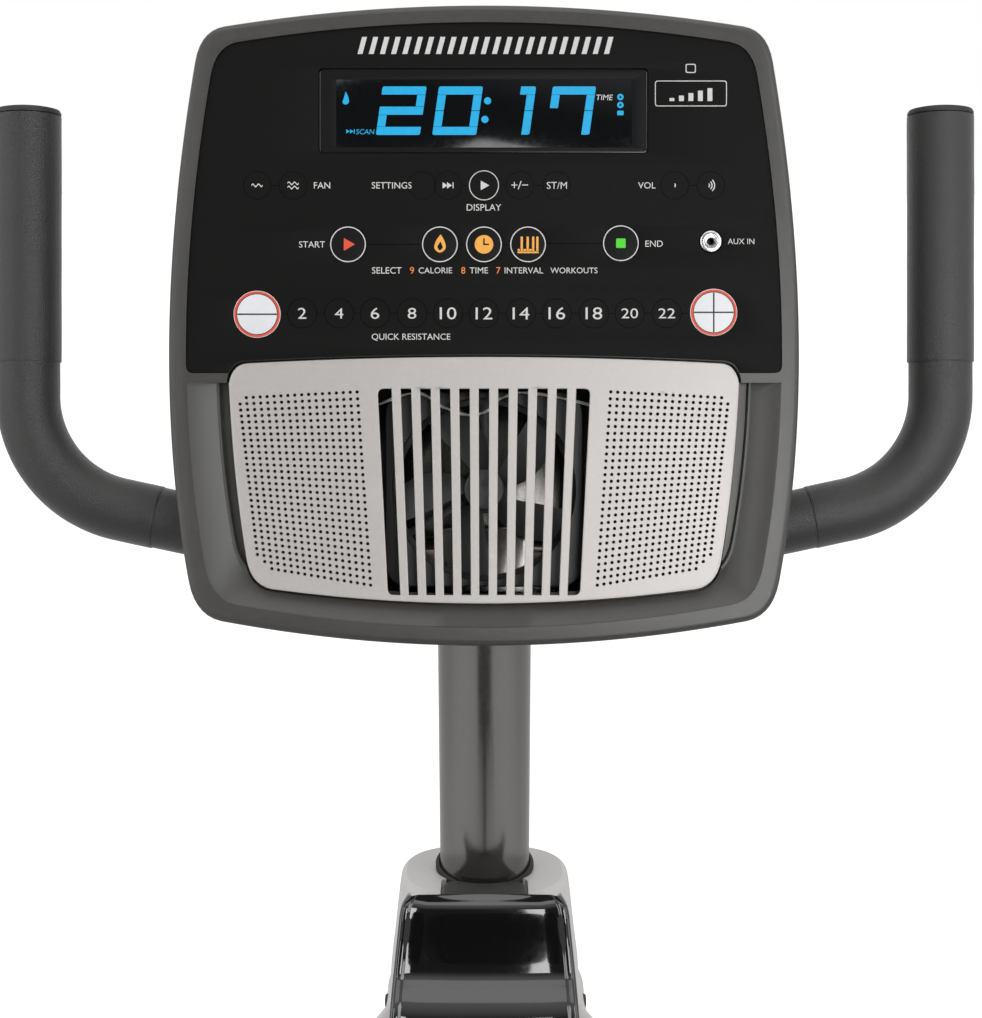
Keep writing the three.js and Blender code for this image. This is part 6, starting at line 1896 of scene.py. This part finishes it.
def make_base():
    for y, name in ((FRONT_Y, "front"), (REAR_Y, "rear")):
        foot = drawn_along_x(rounded_box(70, 44, 21.5, y, 40, 10), -269.8, 269.8, 0.4, 1)
        parts = [foot]
        if name == "rear":
            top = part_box("rear_stabilizer")[1].z * 1000
            leg = [(y - 28, 52, 0), (y + 28, 52, 0), (-756 + 54, top - 3.8, 2), (-756 + 2, top, 2)]
            parts.append(drawn_along_x(rounded(leg, 3), -22.8, 22.8, 1.2, 3))
        tube_foot = join("foot", parts)
        seat_in(tube_foot, MM)
        finish_piece(
            tube_foot, f"{name}_foot_tube", frame_paint, "frame", [f"{name}_stabilizer"],
            40,
        )
    front_cap = [
        (FRONT_Y - 46, 0, 8), (FRONT_Y + 46, 0, 14), (WHEEL_Y + 22, 24, 12), (WHEEL_Y + 22, 52, 16),
        (FRONT_Y + 30, 66, 20), (FRONT_Y - 46, 66, 24),
    ]
    for side, name in ((-1, "left"), (1, "right")):
        x0, x1 = sorted((side * 270.3, side * 304.3))
        for loop, end in ((rounded(front_cap, 8), "front"), (rounded_box(90, 66, 12, REAR_Y, 33, 8), "rear")):
            cap = drawn_along_x(loop, x0, x1, 5, 5)
            ribs = []
            middle = FRONT_Y if end == "front" else REAR_Y
            for k in range(5):
                rib = drawn_along_x(
                    rounded_box(3, 38, 1.4, middle - 20 + 10 * k, 34), side * 303.4 - 0.8,
                    side * 303.4 + 0.8, 0.5, 1,
                )
                ribs.append(rib)
            whole = join("cap", [cap] + ribs)
            seat_in(whole, MM)
            finish_piece(
                whole, f"{end}_end_cap_{name}", textured_black, "frame",
                [f"{end}_cap_{name}"], 35,
            )
        wheel = turned(
            [
                (5.4, -10), (11, -10), (12, -8.6), (20, -8.0), (22, -9.6), (25.6, -9.8), (27.6, -8),
                (28, -5), (28, -1.4), (27.2, -0.8), (27.2, 0.8), (28, 1.4), (28, 5), (27.6, 8),
                (25.6, 9.8), (22, 9.6), (20, 8.0), (12, 8.6), (11, 10), (5.4, 10), (5.4, -10),
            ],
            64,
        )
        seat_in(
            wheel,
            MM @ Matrix.Translation((side * 257.3, WHEEL_Y, WHEEL_Z)) @ Matrix.Rotation(90 * DEG, 4, "Y"),
        )
        finish_piece(
            wheel, f"roller_{name}", rubber_black, f"wheel_{name}",
            [f"transport_wheel_{name}"],
        )
        axle = turned([(0, -14), (4.6, -14), (5, -13.4), (5, 12), (0, 12)], 32)
        seat_in(
            axle,
            MM @ Matrix.Translation(
                (side * 257.6, WHEEL_Y, WHEEL_Z)
            ) @ Matrix.Rotation(side * 90 * DEG, 4, "Y"),
        )
        finish_piece(axle, f"roller_axle_{name}", bright_steel, "frame")
    knee_y, knee_z = -330, 270
    rear_y = REAR_Y + 19
    rear_z = knee_z + (knee_y - rear_y) * math.tan(4 * DEG)
    route = bent(
        [
            (0, 760, 97.3), (0, knee_y + 220, 97.3, 170), (0, knee_y, knee_z, 170),
            (0, rear_y - 2.6, rear_z),
        ],
        3 * DEG,
    )
    beam = swept(rounded_box(50, 70, 10, 0, 0, 6), route, Vector((1, 0, 0)))
    rim = beam.modifiers.new("rim", "BEVEL")
    rim.width = 1.2
    rim.segments = 2
    rim.limit_method = "ANGLE"
    rim.angle_limit = 60 * DEG
    apply_all(beam)
    plates = []
    for y, z in ((758, 97.3),):
        plates.append(
            drawn_along_x(
                rounded(
                    [
                        (y - 60, z - 34.8, 3), (y + 1, z - 34.8, 3), (y + 1, z - 26, 3),
                        (y - 60, z - 26, 3),
                    ],
                    3,
                ),
                -44, 44, 1, 2,
            )
        )
    whole = join("beam", [beam] + plates)
    seat_in(whole, MM)
    finish_piece(whole, "beam", frame_paint, "frame", ["main_beam"], 40)
    bolts = []
    for x in (-36, 36):
        for y in (707, 743):
            bolt = turned(
                [
                    (0, 5.2), (3.2, 5.2), (3.6, 4.4), (6.4, 4.0), (6.8, 0.8), (9.0, 0.6), (9.0, -0.6),
                    (0, -0.6),
                ],
                24,
            )
            bolts.append(seat_in(bolt, Matrix.Translation((x, y, 71.5 if x else 0))))
    heads = join("foot_bolts", bolts)
    seat_in(heads, MM)
    finish_piece(heads, "foot_bolts", bright_steel, "frame")


# ------------------------------------------------------------------ cranks and pedals


def make_cranks():
    for side, name in ((-1, "left"), (1, "right")):
        y_end = CRANK[0] + side * 160
        x0, x1 = sorted((side * 76.5, side * 92.5))
        big, small = ring_of(23, *CRANK, 72), ring_of(15, y_end, CRANK[1], 48)
        hub_half = [p for p in big if (p[0] - CRANK[0]) * side <= 4]
        end_half = [p for p in small if (p[0] - y_end) * side >= 0]
        waist = [(CRANK[0] + side * 34, CRANK[1] + reach) for reach in (-15.5, 15.5)]
        loop = ordered(hub_half + end_half + waist)
        arm = drawn_along_x(loop, x0, x1, 3.2, 4)
        hole = drawn_along_x(ring_of(10.3, *CRANK, 40), -120, 120, 0)
        groove = rounded_box(92, 9, 4.4, CRANK[0] + side * 82, CRANK[1])
        panel = drawn_along_x(groove, *sorted((side * 91.4, side * 96)), 0)
        carve(arm, [hole, panel])
        bolt = turned([(0, 1.4), (3.4, 1.4), (3.8, 3.0), (8.2, 2.6), (9.8, 1.4), (9.8, -9), (0, -9)], 40)
        seat_in(bolt, Matrix.Translation((side * 90.5, *CRANK)) @ Matrix.Rotation(side * 90 * DEG, 4, "Y"))
        spindle = turned(
            [
                (0, 78.5), (5.9, 78.5), (5.9, 96.0), (7.6, 96.4), (7.6, 97.6), (5.8, 98), (5.8, 195.5),
                (5, 196.5), (0, 196.5),
            ],
            32,
        )
        seat_in(spindle, Matrix.Translation((0, y_end, CRANK[1])) @ Matrix.Rotation(side * 90 * DEG, 4, "Y"))
        whole = join("arm", [arm, bolt, spindle])
        seat_in(whole, MM)
        finish_piece(whole, f"crank_{name}", crank_paint, "crank", [f"crank_arm_{name}"], 35)
        make_pedal(side, name, y_end)


def ordered(loop):
    """Puts the points of a crank's outline in order round its middle line."""
    upper = sorted((p for p in loop if p[1] >= CRANK[1]), key=lambda p: p[0])
    lower = sorted((p for p in loop if p[1] < CRANK[1]), key=lambda p: -p[0])
    return lower[::-1] + upper[::-1]


def make_pedal(side, name, y):
    z = CRANK[1]
    x0, x1 = sorted((side * 96.5, side * 196.5))
    outline = [
        (y - 45, z - 8, 9), (y - 23, z - 22, 12), (y + 23, z - 22, 12), (y + 45, z - 8, 9),
        (y + 45, z + 11.2, 8), (y - 45, z + 11.2, 8),
    ]
    body = drawn_along_x(rounded(outline, 6), x0, x1, 3, 4)
    cuts = [drawn_along_x(ring_of(6.3, y, z, 32), x0 - 5, x1 + 5, 0)]
    for k in range(4):
        for dy in (-27, 27):
            pocket = slab(rounded_box(15, 14, 3, (x0 + x1) / 2 - 33 + 22 * k, y + dy), z - 40, z - 4)
            cuts.append(pocket)
    carve(body, cuts)
    ribs = [body]
    for k in range(9):
        if k == 4:
            continue
        rib = slab(
            rounded_box(84, 3.0, 1.4, (x0 + x1) / 2, y - 36 + 9 * k), z + 10.6, z + 12.0, top_round=0.6,
            segments=2,
        )
        ribs.append(rib)
    whole = join("pedal", ribs)
    seat_in(whole, MM)
    finish_piece(
        whole, f"footplate_{name}", textured_black, f"pedal_{name}", [f"pedal_{name}"],
        35,
    )
    middle = (x0 + x1) / 2
    rings = []
    count = 64
    for k in range(count + 1):
        a = math.pi * k / count
        base = Vector((middle + 47.6 * math.cos(a), 0, z + 68 * math.sin(a)))
        out = Vector((math.cos(a) / 47, 0, math.sin(a) / 68)).normalized()
        half = 12 + 6 * math.sin(a) ** 0.6 if 0 < k < count else 12
        shift = 8
        ring = []
        for t, d in (
            (-1, 0.0), (-0.94, 1.0), (-0.8, 1.25), (0.8, 1.25), (0.94, 1.0), (1, 0.0), (0.94, -1.0),
            (0.8, -1.25), (-0.8, -1.25), (-0.94, -1.0),
        ):
            ring.append(base + out * d + Vector((0, y + shift + half * t, 0)))
        if base.z > z + 12.5:
            rings.append(ring)
    strap = lofted(rings)
    holes = []
    for k in range(5):
        a = (0.16 + 0.055 * k) * math.pi
        at = Vector((middle + side * 47.6 * math.cos(a), y + 8, z + 68 * math.sin(a)))
        out = Vector((side * math.cos(a) / 47, 0, math.sin(a) / 68)).normalized()
        holes.append(tube([at - out * 5, at + out * 5], 2.4, 16))
    carve(strap, holes)
    seat_in(strap, MM)
    finish_piece(
        strap, f"toe_strap_{name}", rubber_black, f"pedal_{name}",
        [f"pedal_strap_{name}"], 40,
    )
    studs = []
    for end in (-1, 1):
        stud = turned([(0, 2.2), (3.2, 2.0), (4.6, 0.8), (4.8, -1), (0, -1)], 24)
        seat_in(
            stud,
            Matrix.Translation(
                (middle + end * 48.8, y + 8, z + 17)
            ) @ Matrix.Rotation(end * 90 * DEG, 4, "Y"),
        )
        studs.append(stud)
    pins = join("studs", studs)
    seat_in(pins, MM)
    finish_piece(pins, f"strap_studs_{name}", textured_black, f"pedal_{name}")


# ------------------------------------------------------------------ seat

SEAT_Y = -415
BACK_LEAN = math.atan2(100, 436)
PAN = Matrix.Translation((0, SEAT_Y, 420)) @ Matrix.Rotation(5 * DEG, 4, "X")
BACK = Matrix.Translation(
    (0, SEAT_Y - 220 - 140 * math.tan(BACK_LEAN), 529)
) @ Matrix.Rotation(90 * DEG + BACK_LEAN, 4, "X")


def pan_outline(inset):
    h = 215 - inset
    low, high = -190 + inset, 190 - inset
    return rounded(
        [
            (-h, low, 70), (h, low, 70), (h - 12, 80, 70), (h - 60, high, 60), (-h + 60, high, 60),
            (-h + 12, 80, 70),
        ],
        10,
    )


def back_outline(inset):
    h = 205
    return rounded(
        [
            (-h + 40 + inset, inset, 60), (h - 40 - inset, inset, 60), (h - inset, 150, 90),
            (h - 50 - inset, 430 - inset, 90), (-h + 50 + inset, 430 - inset, 90), (-h + inset, 150, 90),
        ],
        10,
    )


def nearest(loop, x, y):
    """Distance from a point to a closed line."""
    best = 1e9
    for (ax, ay), (bx, by) in zip(loop, loop[1:] + loop[:1]):
        dx, dy = bx - ax, by - ay
        t = max(0.0, min(1.0, ((x - ax) * dx + (y - ay) * dy) / max(dx * dx + dy * dy, 1e-9)))
        best = min(best, math.hypot(x - ax - t * dx, y - ay - t * dy))
    return best


def inflate(pad, board_side, cap):
    """Blows the pad up under its cover with the cloth solver; its flat side stays on the board."""
    voxel = pad.modifiers.new("even", "REMESH")
    voxel.mode = "VOXEL"
    voxel.voxel_size = 0.0055
    apply_all(pad)
    held = pad.vertex_groups.new(name="held")
    held.add([v.index for v in pad.data.vertices if board_side(v.co)], 1.0, "REPLACE")
    start = [v.co.copy() for v in pad.data.vertices]
    cloth = pad.modifiers.new("cover", "CLOTH")
    settings = cloth.settings
    settings.quality = 5
    settings.mass = 0.3
    settings.use_pressure = True
    settings.uniform_pressure_force = 4.0
    settings.tension_stiffness = 15
    settings.compression_stiffness = 15
    settings.shear_stiffness = 8
    settings.bending_stiffness = 1.2
    settings.vertex_group_mass = "held"
    settings.effector_weights.gravity = 0
    cloth.collision_settings.use_collision = False
    cloth.point_cache.frame_start = 1
    cloth.point_cache.frame_end = 20
    for number in range(1, 21):
        scene.frame_set(number)
    alone(pad)
    bpy.ops.object.modifier_apply(modifier=cloth.name)
    for vertex, first in zip(pad.data.vertices, start):
        move = vertex.co - first
        if move.length > cap:
            vertex.co = first + move.normalized() * cap
    scene.frame_set(1)


def make_pad(name, node, outline, low, high, place, channels, sign):
    """A stuffed pad on its board: sewn panels, a piped edge and rows of stitches. sign is the soft side."""
    to_world = MM @ place
    inset = 11
    thick = high - low
    crown = 13
    soft = slab(outline(inset), 0, thick - crown, top_round=20, low_round=6, segments=6)
    flip = Matrix.Identity(4) if sign > 0 else Matrix.Diagonal((1, 1, -1, 1))
    base = low if sign > 0 else high
    local = Matrix.Translation((0, 0, base)) @ flip
    seat_in(soft, to_world @ local)
    outward(soft, 1e-5)
    back = (to_world @ local).inverted()
    inflate(soft, lambda co: (back @ co).z < 3.0, 0.012)
    smooth = soft.modifiers.new("fine", "SUBSURF")
    smooth.levels = smooth.render_levels = 1
    apply_all(soft)
    seat_in(soft, back)
    for vertex in soft.data.vertices:
        x, y, z = vertex.co
        if z < thick * 0.45:
            vertex.co.z = max(z, 0.0)
            continue
        depth = 0.0
        for loop, deep, wide in channels:
            depth += deep * math.exp(-((nearest(loop, x, y) / wide) ** 2))
        vertex.co.z = z - depth
    for vertex in soft.data.vertices:
        vertex.co.z = min(vertex.co.z, thick)
    tree_mesh = soft.data.copy()
    seat_in(soft, to_world @ local)
    outward(soft, 1e-6)
    finish_piece(soft, name, seat_cloth, "seat", [node], 60)
    # piping round the upper edge, laid on the swollen side
    probe = bmesh.new()
    probe.from_mesh(tree_mesh)
    bmesh.ops.recalc_face_normals(probe, faces=probe.faces)
    skin = BVHTree.FromBMesh(probe)
    probe.free()
    level = thick * 0.66
    route = []
    loop = outline(0)
    cx, cy = sum(p[0] for p in loop) / len(loop), sum(p[1] for p in loop) / len(loop)
    for x, y in loop:
        outside = Vector((cx + (x - cx) * 1.3, cy + (y - cy) * 1.3, level))
        hit, normal, _, _ = skin.ray_cast(outside, (Vector((cx, cy, level)) - outside).normalized())
        if hit:
            route.append(hit + normal * 0.4)
    cord = tube(route + route[:2], 2.4, 12, caps=False)
    seat_in(cord, to_world @ local)
    finish_piece(cord, f"{name}_piping", piping_cord, "seat", (), 60)
    # rows of stitches on both sides of each sewn channel
    stitches = []
    for loop, _, wide in channels:
        for shift in (-3.6, 3.6):
            path = drawn_in(loop, shift)
            walk = 0.0
            for a, b in zip(path, path[1:] + path[:1]):
                start, end = Vector(a), Vector(b)
                length = (end - start).length
                while walk < length:
                    spot = start.lerp(end, walk / length)
                    hit, normal, _, _ = skin.ray_cast(
                        Vector((spot.x, spot.y, thick + 30)), Vector((0, 0, -1)),
                    )
                    if hit and normal.z > 0.3:
                        along = Vector((*(end - start).normalized(), 0))
                        stitches.append((hit + normal * 0.15, along, normal))
                    walk += 6.4
                walk -= length
    thread = bmesh.new()
    for spot, along, normal in stitches:
        side = normal.cross(along).normalized() * 0.42
        ends = []
        for t, high_up in ((-2.1, -0.2), (-1.2, 0.35), (1.2, 0.35), (2.1, -0.2)):
            middle = spot + along * t + normal * high_up
            ends.append(
                (
                    thread.verts.new(middle - side), thread.verts.new(middle + normal * 0.25),
                    thread.verts.new(middle + side),
                )
            )
        for p, q in zip(ends, ends[1:]):
            thread.faces.new((p[0], p[1], q[1], q[0]))
            thread.faces.new((p[1], p[2], q[2], q[1]))
            thread.faces.new((p[2], p[0], q[0], q[2]))
        thread.faces.new(ends[0])
        thread.faces.new(ends[-1])
    data = bpy.data.meshes.new("stitches")
    thread.to_mesh(data)
    thread.free()
    rows = bpy.data.objects.new("stitches", data)
    scene.collection.objects.link(rows)
    outward(rows, 1e-6)
    seat_in(rows, to_world @ local)
    outward(rows, 1e-7)
    finish_piece(rows, f"{name}_stitches", stitch_thread, "seat", (), 60)
    bpy.data.meshes.remove(tree_mesh)


def make_seat():
    clear, board_thick, pan_thick, back_thick = 0.3, 14, 76, 64
    pan_base = 3 + clear + board_thick + clear
    inner_pan = rounded([(-118, -128, 60), (118, -128, 60), (104, 140, 70), (-104, 140, 70)], 10)
    make_pad(
        "seat_pad", "seat_cushion", pan_outline, pan_base, pan_base + pan_thick, PAN,
        [(inner_pan, 7.0, 6.5)], 1,
    )
    back_base = 12.5 + clear + board_thick + clear
    inner_back = rounded(
        [(-96, 58, 50), (96, 58, 50), (116, 210, 80), (82, 372, 60), (-82, 372, 60), (-116, 210, 80)], 10,
    )
    make_pad(
        "back_pad", "backrest_cushion", back_outline, -back_base - back_thick, -back_base, BACK,
        [(inner_back, 7.0, 6.5)], -1,
    )
    board = slab(pan_outline(8), 3.3, 17.3, top_round=1.0, low_round=4.5, segments=4)
    seat_in(board, MM @ PAN)
    finish_piece(board, "seat_base_board", textured_black, "seat", ["seat_board"], 35)
    shell = slab(back_outline(8), -26.8, -12.8, top_round=5.5, low_round=1.0, segments=5)
    cuts = []
    for k in range(5):
        cuts.append(slab(rounded_box(120, 7, 3.4, 0, 270 + 18 * k), -19, 5))
    carve(shell, cuts)
    screws = []
    for x, y in ((-120, 90), (120, 90), (-120, 330), (120, 330)):
        screw = turned([(0, 0.4), (2.4, 0.4), (2.8, 1.6), (5.0, 1.2), (5.6, 0.4), (5.6, -1), (0, -1)], 24)
        screws.append(seat_in(screw, Matrix.Translation((x, y, -12.8))))
    heads = join("screws", screws)
    seat_in(heads, MM @ BACK)
    finish_piece(heads, "back_screws", bright_steel, "seat")
    seat_in(shell, MM @ BACK)
    finish_piece(shell, "back_shell", textured_black, "seat", ["backrest_shell"], 35)


def make_seat_handles():
    for side, name in ((-1, "left"), (1, "right")):
        corners = [
            (side * 35.3, SEAT_Y - 60, 395), (side * 262, SEAT_Y - 60, 395, 55),
            (side * 262, SEAT_Y - 30, 555, 50), (side * 262, SEAT_Y + 120, 593),
        ]
        route = bent(corners, 4 * DEG)
        bar = tube(route, BAR_RADIUS, 32)
        seat_in(bar, MM)
        finish_piece(bar, f"seat_bar_{name}", frame_paint, "seat", [f"seat_handle_{name}"], 35)
        start = Vector((side * 262, SEAT_Y - 2, 562))
        end = Vector((side * 262, SEAT_Y + 123, 593.8))
        length = (end - start).length
        profile = [(12.9, 0), (15.6, 0), (16.8, 1.4)]
        for k in range(9):
            at = 8 + k * (length - 18) / 8
            profile += [(17.0, at - 2.6), (16.2, at - 1.4), (16.2, at + 1.4), (17.0, at + 2.6)]
        profile += [(17.0, length - 4), (15.4, length - 1), (12, length), (0, length)]
        sleeve = turned(profile, 48)
        turn = (end - start).normalized().to_track_quat("Z", "Y").to_matrix().to_4x4()
        seat_in(sleeve, MM @ Matrix.Translation(start) @ turn)
        finish_piece(sleeve, f"seat_grip_{name}", grip_foam, "seat", (), 30)


def make_lever():
    y, z = SEAT_Y + 90, 380
    rod = turned([(0, 35.3), (4.6, 35.3), (5, 36), (5, 205), (0, 205)], 32)
    seat_in(rod, Matrix.Translation((0, y, z)) @ Matrix.Rotation(90 * DEG, 4, "Y"))
    side = rounded(
        [
            (y - 12, z - 8, 6), (y + 50, z - 10, 20), (y + 98, z - 4, 5), (y + 98, z + 9, 5),
            (y + 50, z + 6, 20), (y - 12, z + 8, 6),
        ],
        6,
    )
    paddle = drawn_along_x(side, 202, 228, 3.4, 4)
    whole = join("lever", [rod, paddle])
    seat_in(whole, MM)
    finish_piece(whole, "release_lever", textured_black, "seat_lever", ["seat_lever"], 35)


make_shroud()
make_base()
make_cranks()
make_seat()
make_seat_handles()
make_lever()

# ------------------------------------------------------------------ finishes of the CAD pieces that stay

STAYS = {
    "drive_frame": (frame_paint, 0.0008),
    "drive_belt": (rubber_black, 0.0),
    "crank_pulley": (black_plastic, 0.0008),
    "flywheel": (cast_iron, 0.001),
    "brake_yoke": (rail_aluminium, 0.0008),
    "resistance_motor": (black_plastic, 0.0008),
    "display_board": (solder_green, 0.0003),
    "seat_rail": (rail_aluminium, 0.0006),
    "seat_frame": (frame_paint, 0.0007),
}


def dress(name, material, edge):
    """Gives a CAD piece its finish, and eases its sharp edges."""
    node = nodes[name]
    node.data.materials.clear()
    node.data.materials.append(material)
    weld = node.modifiers.new("weld", "WELD")
    weld.merge_threshold = 0.00002
    if edge:
        ease = node.modifiers.new("ease", "BEVEL")
        ease.width = edge
        ease.segments = 2
        ease.limit_method = "ANGLE"
        ease.angle_limit = 40 * DEG
        ease.harden_normals = False


for name, (material, edge) in STAYS.items():
    dress(name, material, edge)
for name in nodes:
    if name not in STAYS and not nodes[name].hide_render:
        raise ValueError("no finish for " + name)
